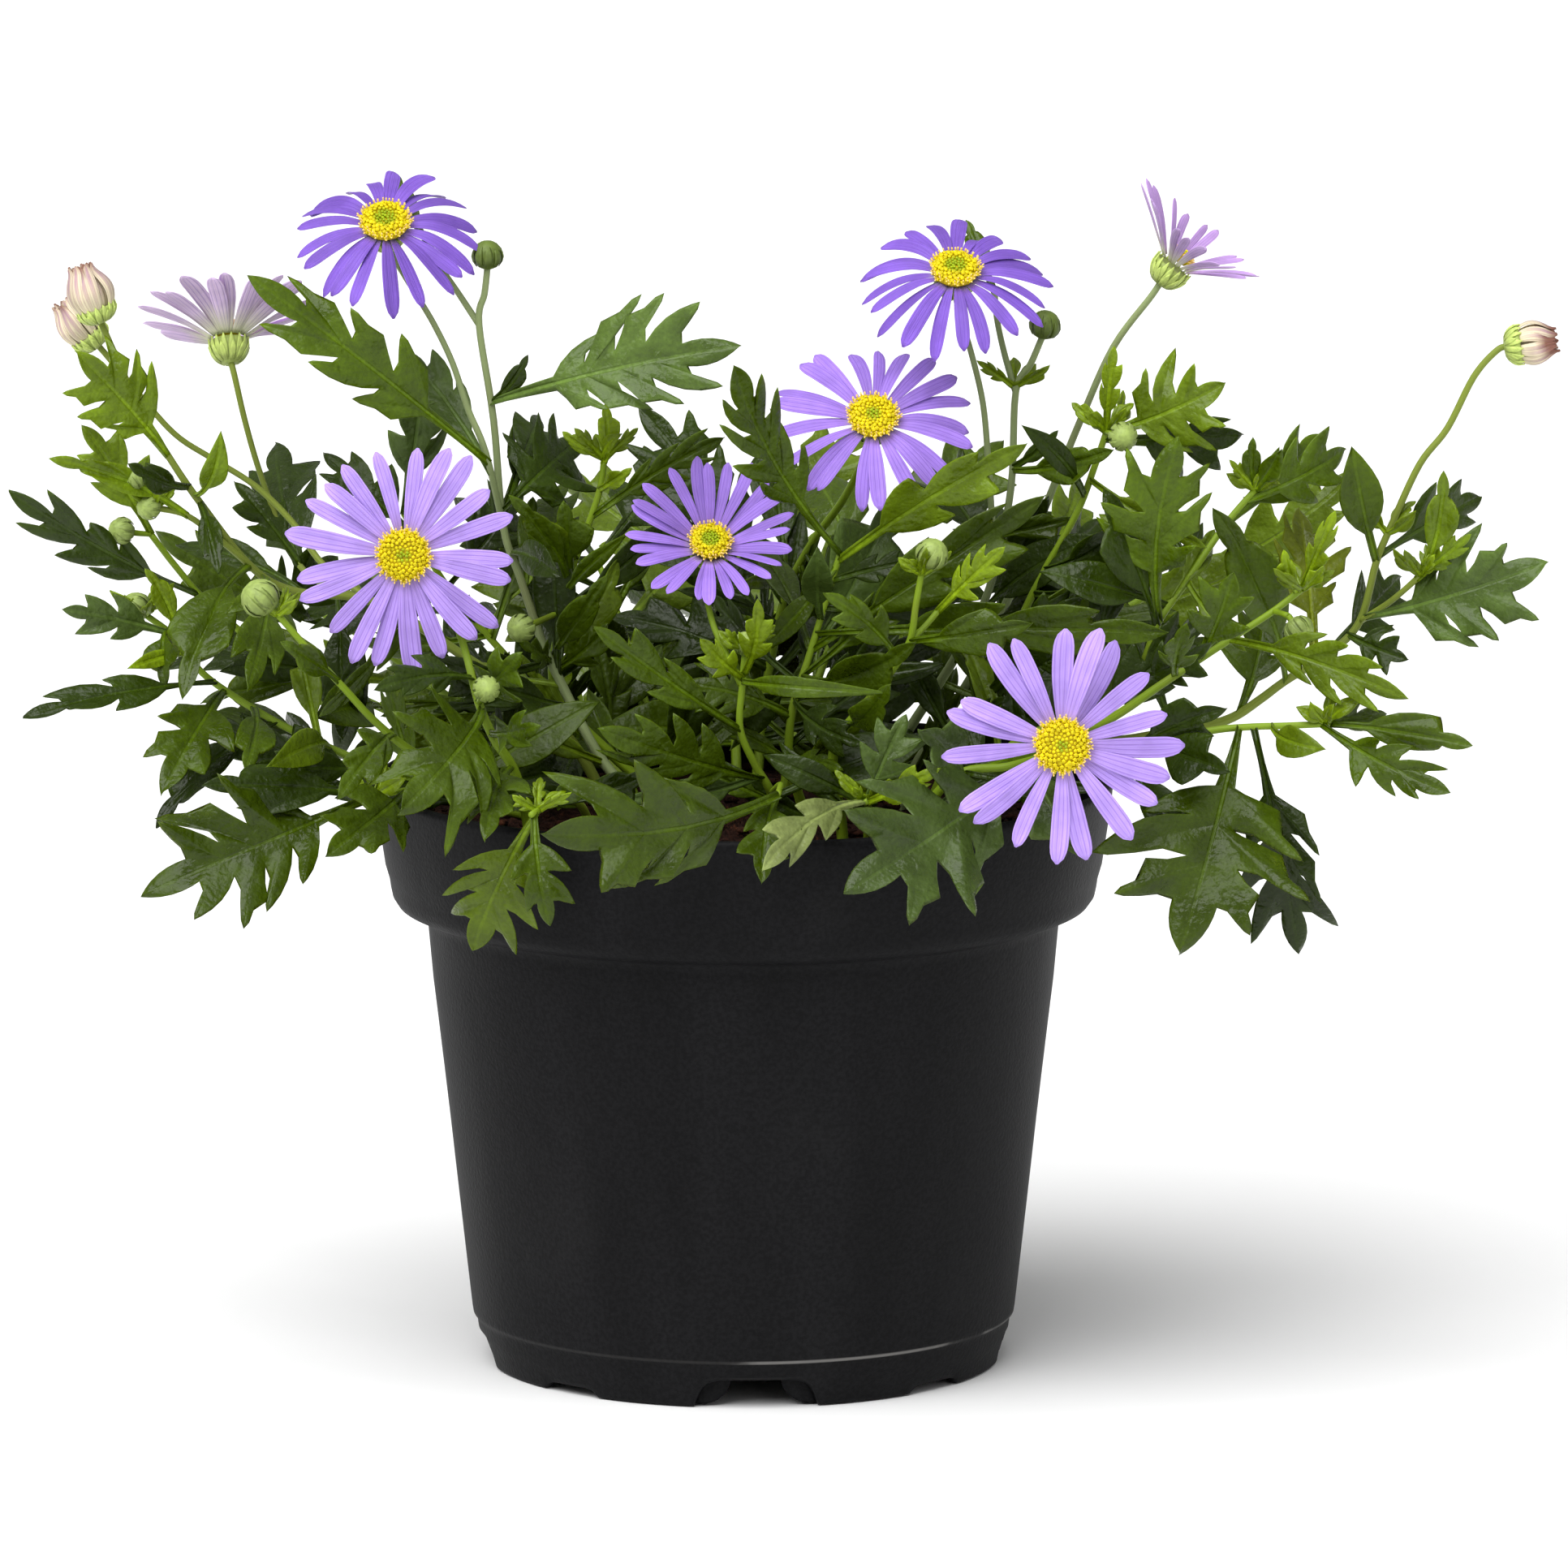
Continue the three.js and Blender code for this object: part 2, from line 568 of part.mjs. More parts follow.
// Places along a route, close together, where a leaf may stand
function footPlaces(places) {
  return places.slice(1).flatMap((end, i) => {
    const start = places[i];
    const count = Math.max(1, Math.round(start.distanceTo(end) / FOOT_STEP));
    return Array.from({ length: count }, (_, k) => start.clone().lerp(end, (k + 1) / count));
  });
}

// The stem rises straight out of the peat before it passes its places
function rootPlaces([x, y]) {
  return [ROOT_BOTTOM, SOIL_TOP + 2].map((z) => new THREE.Vector3(x, y, z));
}

// Leaf outline for one side: fingers lean forward between notches, as [along, across, on tip]
const NECK = 0.28;
const NOTCH_END = 0.84;

function leafOutline(pairs, half) {
  const outline = [[0, 0.6, false], [NECK, 0.5 + 0.07 * half, false]];
  if (pairs === 0) {
    outline.push([0.6, half, false]);
    return outline;
  }
  const span = (NOTCH_END - NECK - 0.02) / pairs;
  for (let k = 1; k <= pairs; k += 1) {
    const swell = 0.62 + 0.38 * Math.sin((Math.PI * (k - 0.3)) / pairs);
    outline.push([NECK + span * (k - 0.5) + 0.16, half * swell, true]);
    outline.push([NECK + span * k * 0.96, 0.3 + 0.27 * half * swell, false]);
  }
  return outline;
}

// Midrib place of each notch, so that every finger fans out from the rib
function ribPlaces(outline) {
  return outline.filter(([, , onTip], i) => i > 0 && !onTip).map(([along]) => along);
}

// A leaf's own frame: a bowed midrib from foot to tip, the way across it and its upper side
function leafFrame(foot, tip, roll, arch) {
  const axis = tip.clone().sub(foot);
  const length = axis.length();
  axis.normalize();
  const facing = EYE.clone().sub(foot).normalize();
  const normal = facing.addScaledVector(axis, -facing.dot(axis));
  if (normal.length() < 0.2) {
    normal.copy(UP).addScaledVector(axis, -UP.dot(axis));
  }
  normal.normalize().applyAxisAngle(axis, THREE.MathUtils.degToRad(roll));
  const across = axis.clone().cross(normal);
  return { foot, axis, length, normal, across, arch };
}

// Point of the blade: bowed along the rib, and folded up a little on both sides of it
const FOLD = 0.22;

function bladePoint(frame, along, across) {
  const bow = 4 * along * (1 - along) * frame.arch * frame.length;
  return frame.foot.clone()
    .addScaledVector(frame.axis, along * frame.length)
    .addScaledVector(frame.across, across)
    .addScaledVector(frame.normal, bow + FOLD * Math.abs(across));
}

// One face of a broad blade, folded along its rib
function foldedFace(outline, sides, middle, end, flat) {
  const [right, left] = sides;
  sides.forEach((side, s) => {
    const turn = (a, b, c) => flat.push(s === 0 ? [a, b, c] : [a, c, b]);
    let at = 0;
    for (let i = 1; i + 1 < side.length; i += 1) {
      turn(middle[at], side[i], side[i + 1]);
      if (!outline[i + 1][2]) {
        turn(middle[at], side[i + 1], middle[at + 1]);
        at += 1;
      }
    }
    turn(middle[at], side[side.length - 1], end);
  });
  flat.push([left[0], right[0], right[1]]);
  flat.push([left[0], right[1], middle[0]]);
  flat.push([left[0], middle[0], left[1]]);
}

// One face of a narrow blade, straight across between its notches
function plainFace(outline, [right, left], end, flat) {
  const anchors = outline.map((place, i) => i).filter((i) => !outline[i][2]);
  for (let k = 0; k + 1 < anchors.length; k += 1) {
    const from = anchors[k];
    const to = anchors[k + 1];
    flat.push([left[from], right[from], right[to]], [left[from], right[to], left[to]]);
    if (to === from + 2) {
      flat.push([right[from], right[from + 1], right[to]], [left[from], left[to], left[from + 1]]);
    }
  }
  const last = anchors[anchors.length - 1];
  flat.push([left[last], right[last], end]);
}

// Closed blade: the same triangles on both faces, walls round the edge, fingers ending in a point
function leafSolid(frame, half, allPairs, grow) {
  const pairs = frame.length < SHORT_LEAF ? Math.min(SHORT_LEAF_PAIRS, allPairs) : allPairs;
  const outline = leafOutline(pairs, half);
  const rib = ribPlaces(outline);
  const lift = frame.normal.clone().multiplyScalar((BLADE + 2 * grow) / 2);
  const points = [];
  const upper = [];
  const lower = [];
  const add = (along, across, pointed) => {
    const place = bladePoint(frame, along, across);
    const id = upper.length;
    if (pointed) {
      points.push(place);
      upper.push(points.length - 1);
      lower.push(points.length - 1);
      return id;
    }
    points.push(place.clone().add(lift));
    upper.push(points.length - 1);
    points.push(place.clone().sub(lift));
    lower.push(points.length - 1);
    return id;
  };
  const sides = [1, -1].map((sign) => outline.map(([along, across, onTip]) => (
    add(along, sign * (across + grow), onTip)
  )));
  const end = add(1 + grow / frame.length, 0, true);
  const flat = [];
  if (half > FOLDED_FROM) {
    foldedFace(outline, sides, rib.map((along) => add(along, 0, false)), end, flat);
  } else {
    plainFace(outline, sides, end, flat);
  }
  const [right, left] = sides;
  const rim = [...right, end, ...left.slice().reverse()];
  const faces = [];
  flat.forEach(([a, b, c]) => {
    faces.push([upper[a], upper[b], upper[c]]);
    faces.push([lower[a], lower[c], lower[b]]);
  });
  rim.forEach((a, i) => {
    const b = rim[(i + 1) % rim.length];
    if (upper[a] !== lower[a]) {
      faces.push([upper[a], lower[a], lower[b]]);
    }
    if (upper[b] !== lower[b]) {
      faces.push([upper[a], lower[b], upper[b]]);
    }
  });
  return solidFrom(points, faces);
}

// Flower cup: a ridged bowl whose mouth is at the centre
function calyx(centre, axis) {
  const stations = [[-CALYX_HEIGHT, 1.1], [-0.62 * CALYX_HEIGHT, 0.84 * CALYX_RADIUS], [0, CALYX_RADIUS]];
  return ridged(centre, axis, stations, CALYX_SIDES, 0.04, 0);
}

function bud(centre, axis, radius) {
  const stations = [[-0.9 * radius, 0.45 * radius], [-0.1 * radius, radius], [0.7 * radius, 0.7 * radius]];
  return ridged(centre, axis, stations, BUD_SIDES, 0, radius);
}

// Ring of petals round a hub, one closed solid. Petals rise by turns so that no two meet.
function petalRing(centre, axis, count, radius, liftDegrees, droop) {
  const [right, over] = acrossAxis(axis);
  const random = randomFrom(count * 131 + Math.round(radius * 10));
  const hub = HUB_RADIUS;
  const half = BLADE / 2;
  const lift = THREE.MathUtils.degToRad(liftDegrees);
  const points = [half, -half].map((t) => centre.clone().addScaledVector(axis, HUB_HEIGHT + t));
  const faces = [];
  const petals = [];
  const hubHalf = Math.min(0.5, (Math.PI * hub) / count - 0.12);
  for (let i = 0; i < count; i += 1) {
    const angle = (2 * Math.PI * (i + 0.16 * (random() - 0.5))) / count;
    const reach = radius * (0.92 + 0.1 * random());
    const rise = i % 2 === 0 ? 0.5 : -0.1;
    const out = right.clone().multiplyScalar(Math.cos(angle)).addScaledVector(over, Math.sin(angle));
    const side = axis.clone().cross(out).normalize();
    const width = Math.min(PETAL_WIDTH, (2 * Math.PI * reach * 0.62) / count - 0.25) / 2;
    const stations = [[0, hubHalf], [0.7, width], [1, 0]];
    const ids = stations.map(([along, wide]) => {
      const run = along * (reach - hub);
      const climb = HUB_HEIGHT + rise * Math.min(1, along * 3) + Math.sin(lift) * run - droop * along * along;
      const middle = centre.clone()
        .addScaledVector(axis, climb)
        .addScaledVector(out, hub + Math.cos(lift) * run);
      if (wide === 0) {
        points.push(middle);
        return [points.length - 1];
      }
      const corners = [];
      [-wide, wide].forEach((w) => [half, -half].forEach((t) => {
        points.push(middle.clone().addScaledVector(side, w).addScaledVector(axis, t));
        corners.push(points.length - 1);
      }));
      return corners;
    });
    petals.push(ids);
  }
  petals.forEach((ids, i) => {
    const next = petals[(i + 1) % count];
    for (let k = 0; k + 2 < ids.length; k += 1) {
      const [a, b, c, d] = ids[k];
      const [e, f, g, h] = ids[k + 1];
      faces.push([a, e, g], [a, g, c], [b, h, f], [b, d, h]);
      faces.push([a, b, f], [a, f, e], [c, h, d], [c, g, h]);
    }
    const [e, f, g, h] = ids[ids.length - 2];
    const tip = ids[ids.length - 1][0];
    faces.push([e, tip, g], [f, h, tip], [e, f, tip], [g, tip, h]);
    const [a, b, c, d] = ids[0];
    faces.push([0, a, c], [1, d, b]);
    faces.push([0, c, next[0][0]], [1, next[0][1], d]);
    faces.push([c, d, next[0][1]], [c, next[0][1], next[0][0]]);
  });
  return solidFrom(points, faces);
}

// Disc of florets: a dome in relief
function disc(centre, axis) {
  const [right, over] = acrossAxis(axis);
  const base = HUB_HEIGHT + BLADE / 2 + GAP;
  const count = DISC_SIDES;
  const levels = [[DISC_RADIUS * 0.78, 0], [DISC_RADIUS, 0.9], [DISC_RADIUS * 0.66, 2]];
  const rings = levels.map(([radius, height], k) => {
    const ring = [];
    for (let i = 0; i < count; i += 1) {
      const angle = (2 * Math.PI * i) / count;
      const bump = k === 0 ? 0 : 0.16 * ((i + k) % 2 === 0 ? 1 : -1);
      ring.push(centre.clone()
        .addScaledVector(axis, base + height + bump)
        .addScaledVector(right, (radius + bump) * Math.cos(angle))
        .addScaledVector(over, (radius + bump) * Math.sin(angle)));
    }
    return ring;
  });
  const start = centre.clone().addScaledVector(axis, base);
  const end = centre.clone().addScaledVector(axis, base + DISC_HEIGHT);
  return skinned(rings, start, end);
}

// Closed bloom: upright petals laid together, their tips free
function closedPetals(centre, axis, length, radius) {
  const stations = [[GAP, 0.8 * radius], [0.4 * length, radius], [length, 0.55 * radius]];
  return ridged(centre, axis, stations, CLOSED_SIDES, 0.07, 0.8 * length);
}

// Pot: turned wall with a collar, a foot ring with notches and holes in the floor
function pot() {
  const profile = [
    [0, FLOOR_UNDER], [FOOT_RADIUS - FOOT_RING, FLOOR_UNDER], [FOOT_RADIUS - FOOT_RING, 0], [FOOT_RADIUS, 0],
    [FOOT_RADIUS + 1.4, 5.2], [FOOT_RADIUS + 2.2, 7.4],
    [SHOULDER_RADIUS, COLLAR_FOOT], [LEDGE_RADIUS, COLLAR_FOOT + 1.3], [COLLAR_RADIUS, COLLAR_FOOT + 4],
    [RIM_RADIUS, POT_HEIGHT - 0.4], [RIM_RADIUS - 0.5, POT_HEIGHT], [RIM_RADIUS - WALL, POT_HEIGHT],
    [COLLAR_RADIUS - WALL, COLLAR_FOOT + 5], [SHOULDER_RADIUS - WALL, COLLAR_FOOT + 1.8],
    [FOOT_RADIUS + 2.1 - WALL, FLOOR_OVER], [0, FLOOR_OVER],
  ];
  const body = turned(profile, POT_SIDES);
  const notches = [];
  for (let i = 0; i < NOTCHES; i += 1) {
    const [width, depth, height] = i % 2 === 0 ? WIDE_NOTCH : NARROW_NOTCH;
    const block = new THREE.BoxGeometry(width, depth, height * 2);
    block.translate(0, FOOT_RING / 2 - FOOT_RADIUS, 0);
    block.rotateZ(THREE.MathUtils.degToRad(NOTCH_TURN + (360 * i) / NOTCHES));
    notches.push(solidOfGeometry(block));
  }
  for (let i = 0; i < DRAINS; i += 1) {
    const drain = new THREE.CylinderGeometry(DRAIN_RADIUS, DRAIN_RADIUS, 2 * FLOOR_UNDER, 6);
    drain.rotateX(Math.PI / 2);
    drain.translate(DRAIN_CIRCLE, 0, FLOOR_UNDER);
    drain.rotateZ(THREE.MathUtils.degToRad(DRAIN_TURN + (360 * i) / DRAINS));
    notches.push(solidOfGeometry(drain));
  }
  return body.subtract(joined(notches));
}

// Peat: fills the pot to just under the rim, a little uneven on top
function soil(holes) {
  const floor = FLOOR_OVER + GAP;
  const profile = [
    [0, floor], [FOOT_RADIUS + 1.7 - WALL, floor], [SHOULDER_RADIUS - WALL - 0.4, COLLAR_FOOT + 2.1],
    [COLLAR_RADIUS - WALL + 0.3, SOIL_TOP - 1.6], [34, SOIL_TOP], [0, SOIL_TOP],
  ];
  const points = profile.map(([r, z]) => new THREE.Vector2(r, z));
  const geometry = new THREE.LatheGeometry(points, SOIL_SIDES);
  geometry.rotateX(Math.PI / 2);
  const place = geometry.attributes.position;
  for (let i = 0; i < place.count; i += 1) {
    const x = place.getX(i);
    const y = place.getY(i);
    if (place.getZ(i) > SOIL_TOP - 1.7) {
      const bump = 0.6 * Math.sin(0.31 * x + 1) * Math.cos(0.27 * y);
      place.setZ(i, place.getZ(i) + bump);
    }
  }
  return solidOfGeometry(geometry).subtract(joined(holes));
}

// Assembly
const nodes = new Map();
const footholds = new Map();
const holes = [];
const group = new THREE.Group();

function axisOf(bloom) {
  return new THREE.Vector3(bloom[3], bloom[4], bloom[5]).normalize();
}

const flowers = Object.entries(BLOOMS).map(([name, bloom]) => {
  const centre = sight(bloom);
  const axis = axisOf(bloom);
  nodes.set(`${name}_petals`, [petalRing(centre, axis, bloom[6], bloom[7], bloom[8], bloom[9])]);
  nodes.set(`${name}_disc`, [disc(centre, axis)]);
  return { centre, axis };
});

Object.entries(CLOSED_BLOOMS).forEach(([name, [ax, ah, ad, bx, bh, bd, length, radius]]) => {
  const centre = sight([ax, ah, ad]);
  const axis = sight([bx, bh, bd]).sub(centre).normalize();
  nodes.set(`${name}_petals`, [closedPetals(centre, axis, length, radius)]);
  flowers.push({ centre, axis });
});

// A stem that ends close below a flower runs on into its cup
const CUP_REACH = 7;

function flowerAbove(end) {
  const neckOf = ({ centre, axis }) => centre.clone().addScaledVector(axis, 1 - CALYX_HEIGHT);
  const flower = flowers.find((each) => neckOf(each).distanceTo(end) < CUP_REACH);
  return flower ? { ...flower, neck: neckOf(flower) } : null;
}

// Square hole in the peat for a stem, with the gap left at its flats
const HOLE_DEPTH = 30;

function rootHole(x, y) {
  const radius = STEM_RADIUS + GAP + 0.95;
  const hole = new THREE.CylinderGeometry(radius, radius, HOLE_DEPTH, 4);
  hole.rotateX(Math.PI / 2);
  hole.translate(x, y, ROOT_BOTTOM - GAP + HOLE_DEPTH / 2);
  return solidOfGeometry(hole);
}

function growStems(name, root, path, branches, buds) {
  const routes = [[...rootPlaces(root), ...path.map(sight)], ...branches.map((places) => places.map(sight))];
  const solids = [];
  const feet = [];
  routes.forEach((places, i) => {
    const flower = flowerAbove(places[places.length - 1]);
    if (flower) {
      places.push(flower.neck);
      solids.push(calyx(flower.centre, flower.axis));
    }
    const size = i === 0 ? [STEM_RADIUS, STALK_RADIUS] : [STALK_RADIUS, STALK_RADIUS];
    solids.push(tube(places, ...size, STEM_SIDES));
    feet.push(...footPlaces(places));
  });
  buds.forEach(([across, height, depth, radius]) => {
    const centre = sight([across, height, depth]);
    const foot = nearest(feet, centre);
    const axis = centre.clone().sub(foot).normalize();
    solids.push(bud(centre, axis, radius));
    if (centre.distanceTo(foot) > radius) {
      solids.push(tube([foot, centre], BUD_STALK, BUD_STALK, STEM_SIDES));
    }
  });
  nodes.set(name, solids);
  footholds.set(name, feet);
  holes.push(rootHole(root[0], root[1]));
}

function nearest(places, target) {
  let best = places[0];
  places.forEach((place) => {
    if (place.distanceToSquared(target) < best.distanceToSquared(target)) {
      best = place;
    }
  });
  return best;
}

// Foot of a leaf: the stem's place that is seen nearest to the given one
function footOn(feet, across, height) {
  const seen = (place) => {
    const near = -EYE.y / (place.y - EYE.y);
    const x = EYE.x + (place.x - EYE.x) * near;
    const z = EYE.z + (place.z - EYE.z) * near;
    return (x - across) ** 2 + (z - height) ** 2;
  };
  let best = feet[0];
  feet.forEach((place) => {
    if (seen(place) < seen(best)) {
      best = place;
    }
  });
  return best;
}

Object.entries(SHOOTS).forEach(([name, shoot]) => {
  growStems(name, shoot.root, shoot.path, shoot.branches, shoot.buds);
});

const backNames = BACK_SHOOTS.map(([rootAzimuth, leanAzimuth, reach, height], i) => {
  const name = `shoot_back_${i + 1}`;
  const from = THREE.MathUtils.degToRad(rootAzimuth);
  const to = THREE.MathUtils.degToRad(leanAzimuth);
  const root = [BACK_ROOT_RADIUS * Math.cos(from), BACK_ROOT_RADIUS * Math.sin(from)];
  const main = [[0.34, 0.3], [0.62, 0.62], [0.86, 0.88], [1, 1]].map(([out, up]) => {
    const r = BACK_ROOT_RADIUS + (reach - BACK_ROOT_RADIUS) * out;
    const turn = from + (to - from) * out;
    return new THREE.Vector3(r * Math.cos(turn), r * Math.sin(turn), SOIL_TOP + 4 + (height - SOIL_TOP) * up);
  });
  const places = [...rootPlaces(root), ...main];
  nodes.set(name, [tube(places, STEM_RADIUS, STALK_RADIUS, STEM_SIDES)]);
  footholds.set(name, footPlaces(places));
  holes.push(rootHole(root[0], root[1]));
  return name;
});

nodes.set('pot', [pot()]);
nodes.set('soil', [soil(holes)]);

// A new leaf keeps clear of every other piece. Where it would cross one, its tip moves nearer
// to or further from the front by the first step that is clear, and a leaf with no room is left off.
const TIP_STEPS = [0, -6, 6, -12, 12, -19, 19, -27, 27];
const CLEAR = 0.32;

const standing = new Map();
nodes.forEach((solids, name) => {
  standing.set(name, solids.map((solid) => ({ solid, box: solid.boundingBox() })));
});

function boxesMeet(a, b) {
  return [0, 1, 2].every((i) => a.min[i] <= b.max[i] && b.min[i] <= a.max[i]);
}

function isClear(name, fat) {
  const box = fat.boundingBox();
  return [...standing].every(([other, pieces]) => other === name || pieces.every((piece) => (
    !boxesMeet(box, piece.box) || fat.intersect(piece.solid).volume() < 1e-6
  )));
}

function growLeaf(name, foot, tip, half, pairs, roll, arch) {
  const away = tip.clone().sub(EYE).normalize();
  const step = TIP_STEPS.find((shift) => {
    const moved = tip.clone().addScaledVector(away, shift);
    const frame = leafFrame(foot, moved, roll, arch);
    return isClear(name, leafSolid(frame, half, pairs, CLEAR));
  });
  if (step === undefined) {
    return;
  }
  const frame = leafFrame(foot, tip.clone().addScaledVector(away, step), roll, arch);
  const solid = leafSolid(frame, half, pairs, 0);
  nodes.get(name).push(solid);
  standing.get(name).push({ solid, box: solid.boundingBox() });
}

Object.entries(SHOOTS).forEach(([name, shoot]) => {
  shoot.leaves.forEach(([ax, ah, bx, bh, bd, half, pairs, roll, arch]) => {
    const foot = footOn(footholds.get(name), ax, ah);
    growLeaf(name, foot, sight([bx, bh, bd]), half, pairs, roll, arch);
  });
});

// Leaves of the back shoots stand out by turns, rising and then nodding
const random = randomFrom(7);
backNames.forEach((name, i) => {
  const lean = THREE.MathUtils.degToRad(BACK_SHOOTS[i][1]);
  const feet = footholds.get(name);
  for (let k = 0; k < BACK_LEAVES; k += 1) {
    const at = feet[Math.round((0.42 + (0.58 * k) / (BACK_LEAVES - 1)) * (feet.length - 1))];
    const turn = lean + (k % 2 === 0 ? 1 : -1) * (0.5 + 0.7 * random());
    const rise = 0.1 + (0.5 * k) / (BACK_LEAVES - 1);
    const length = 26 + 14 * random();
    const level = Math.cos(rise);
    const way = new THREE.Vector3(level * Math.cos(turn), level * Math.sin(turn), Math.sin(rise));
    const tip = at.clone().addScaledVector(way, length);
    growLeaf(name, at, tip, 5.5 + 2.5 * random(), 2, 150 + 40 * random(), -0.1);
  }
});

// Finishes
const FINISHES = {
  pot: { color: 0x1c1c1e, roughness: 0.62, metalness: 0 },
  soil: { color: 0x2d1a12, roughness: 1, metalness: 0 },
  petals: { color: 0xa88be0, roughness: 0.6, metalness: 0 },
  closed: { color: 0xc9a3c4, roughness: 0.65, metalness: 0 },
  disc: { color: 0xe0c61c, roughness: 0.7, metalness: 0 },
};

function finishOf(name) {
  if (name.includes('closed')) {
    return FINISHES.closed;
  }
  if (name.endsWith('_petals')) {
    return FINISHES.petals;
  }
  if (name.endsWith('_disc')) {
    return FINISHES.disc;
  }
  if (FINISHES[name]) {
    return FINISHES[name];
  }
  const colour = SHOOTS[name] ? SHOOTS[name].colour : 0x4e6c2c;
  return { color: colour, roughness: 0.5, metalness: 0 };
}

nodes.forEach((solids, name) => {
  const mesh = new THREE.Mesh(geometryOf(joined(solids)), new THREE.MeshStandardMaterial(finishOf(name)));
  mesh.name = name;
  group.add(mesh);
});

// The origin goes under the middle of the plant's box, with the foot of the pot at height zero
const box = new THREE.Box3().setFromObject(group);
const middle = box.getCenter(new THREE.Vector3());
group.children.forEach((mesh) => mesh.position.set(-middle.x, -middle.y, -box.min.z));

export default group;
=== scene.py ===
import math

import bpy
import numpy as np
from bpy.props import FloatProperty, FloatVectorProperty, IntProperty, PointerProperty
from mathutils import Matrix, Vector


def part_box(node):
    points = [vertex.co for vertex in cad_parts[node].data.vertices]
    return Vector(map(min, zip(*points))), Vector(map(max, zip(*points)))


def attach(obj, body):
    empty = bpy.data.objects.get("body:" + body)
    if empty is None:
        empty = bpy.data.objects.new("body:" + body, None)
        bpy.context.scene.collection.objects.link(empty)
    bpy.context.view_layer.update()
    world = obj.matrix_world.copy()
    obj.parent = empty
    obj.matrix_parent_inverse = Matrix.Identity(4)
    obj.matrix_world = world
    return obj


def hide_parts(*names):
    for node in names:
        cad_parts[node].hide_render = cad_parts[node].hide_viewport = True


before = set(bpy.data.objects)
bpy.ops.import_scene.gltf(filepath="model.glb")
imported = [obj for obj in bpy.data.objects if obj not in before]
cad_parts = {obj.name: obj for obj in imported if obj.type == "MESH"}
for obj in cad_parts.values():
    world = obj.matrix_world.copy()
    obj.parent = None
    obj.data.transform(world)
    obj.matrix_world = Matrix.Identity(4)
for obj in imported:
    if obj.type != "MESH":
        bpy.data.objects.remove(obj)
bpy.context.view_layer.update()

bl_info = {
    "name": "Potted swan river daisy",
    "version": (1, 0, 0),
    "blender": (4, 5, 0),
    "location": "3D View > Sidebar > Daisy",
    "description": "Dresses the packed pot, peat, shoots and blooms with fine surfaces and finishes",
    "category": "Object",
}

# The frame: its box as loaded, and where the pot's own axis stands in it. The plant is measured in
# millimetres from that axis and from the surface under the pot.
MM = 0.001
POT_LOW, POT_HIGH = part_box("pot")
POT_AXIS = np.array([(POT_LOW.x + POT_HIGH.x) / 2, (POT_LOW.y + POT_HIGH.y) / 2, 0.0])

# Pot and peat, in millimetres
POT_HEIGHT = 95.7
RIM_RADIUS = 60.0
FOOT_RADIUS = 41.9
FOOT_RING = 1.6
COLLAR_FOOT = 74.2
WALL = 1.3
FLOOR_UNDER = 6.2
FLOOR_OVER = 8.0
NOTCHES = 8
NOTCH_TURN = 3.0
WIDE_NOTCH = (13.4, 4.4)
CHEEK_ANGLE = 5.8
NARROW_NOTCH = (7.6, 1.3)
DRAINS = 4
DRAIN_RADIUS = 4.0
DRAIN_CIRCLE = 27.0
DRAIN_TURN = 25.0
SOIL_TOP = 88.4
ROOT_BOTTOM = 76.0
PEAT_SIDES = 132
CRUMB_CIRCLE = 55.0
CRUMB_SIZE = (0.5, 1.7)
# Height of the foot ring's top edge, along which a pale line is a painted highlight
EDGE_HIGHLIGHT_LEVEL = 7.7

# Flowers, in millimetres. A stem carries a flower if it ends within the cup's reach of the flower's neck.
# A bud above HIGH_BUD has the tone of high buds.
CALYX_HEIGHT = 4.6
CUP_REACH = 7.0
CUP_HEIGHT = 3.7
CLOSED_CUP_HEIGHT = 2.6
HUB_RADIUS = 3.5
HUB_INSET = 0.9
HUB_HEIGHT = 0.7
DISC_BASE = 1.35
HIGH_BUD = 165.0
FLORETS = 136
FLORET_TURN = 137.508

# Bract rings of a cup: (bracts, foot and tip as shares of its height, share of its radius). Petal rings of a
# closed bloom: (petals, share of its girth, share of its length)
BRACT_RINGS = ((16, -0.86, 0.16, 1.03), (12, -0.95, -0.22, 1.07))
CLOSED_RINGS = ((14, 1.0, 1.0), (10, 0.72, 0.97), (6, 0.38, 0.92))

# Petals: linear colours that the foot and the back of a petal take a share of
PETAL_FOOT = np.array([0.62, 0.62, 0.5])
PETAL_BACK = np.array([0.66, 0.55, 0.72])
PETAL_BACK_FOOT = np.array([0.66, 0.7, 0.4])

# Leaves: where the blade starts on the midrib, where its last notch lies, how far it folds up, and the half
# width from which a finger may carry a tooth
NECK = 0.28
NOTCH_END = 0.84
FOLD = 0.22
TOOTHED_FROM = 6.5

# Steps along a finger's outer edge and back to its notch, the weight of its vein at each, and its tooth
FINGER_OUT = np.array([0.22, 0.45, 0.68, 0.88, 1.0])[:, None]
FINGER_BACK = np.array([0.14, 0.4, 0.7, 1.0])[:, None]
FINGER_VEIN = np.array([0, 0, 0, 0.4, 1, 0.4, 0, 0, 0])
TOOTH = np.array([0.0, 0.09, -0.05, 0.0, 0.0])[:, None]
LEAF_END = np.array([0.15, 0.32, 0.5, 0.68, 0.84, 0.95, 1.0])[:, None]

# Section of a leaf: how far out each point lies from midrib to margin, on which side, and on which face
LEAF_OUT = np.array([0, 0.38, 0.72, 0.93, 1, 0.93, 0.72, 0.38, 0, 0.38, 0.72, 0.93, 1, 0.93, 0.72, 0.38])
LEAF_SIDE = np.array([1, 1, 1, 1, 1, 1, 1, 1, 1, -1, -1, -1, -1, -1, -1, -1])
LEAF_FACE = np.array([1, 1, 1, 1, 0, -1, -1, -1, -1, -1, -1, -1, 0, 1, 1, 1])

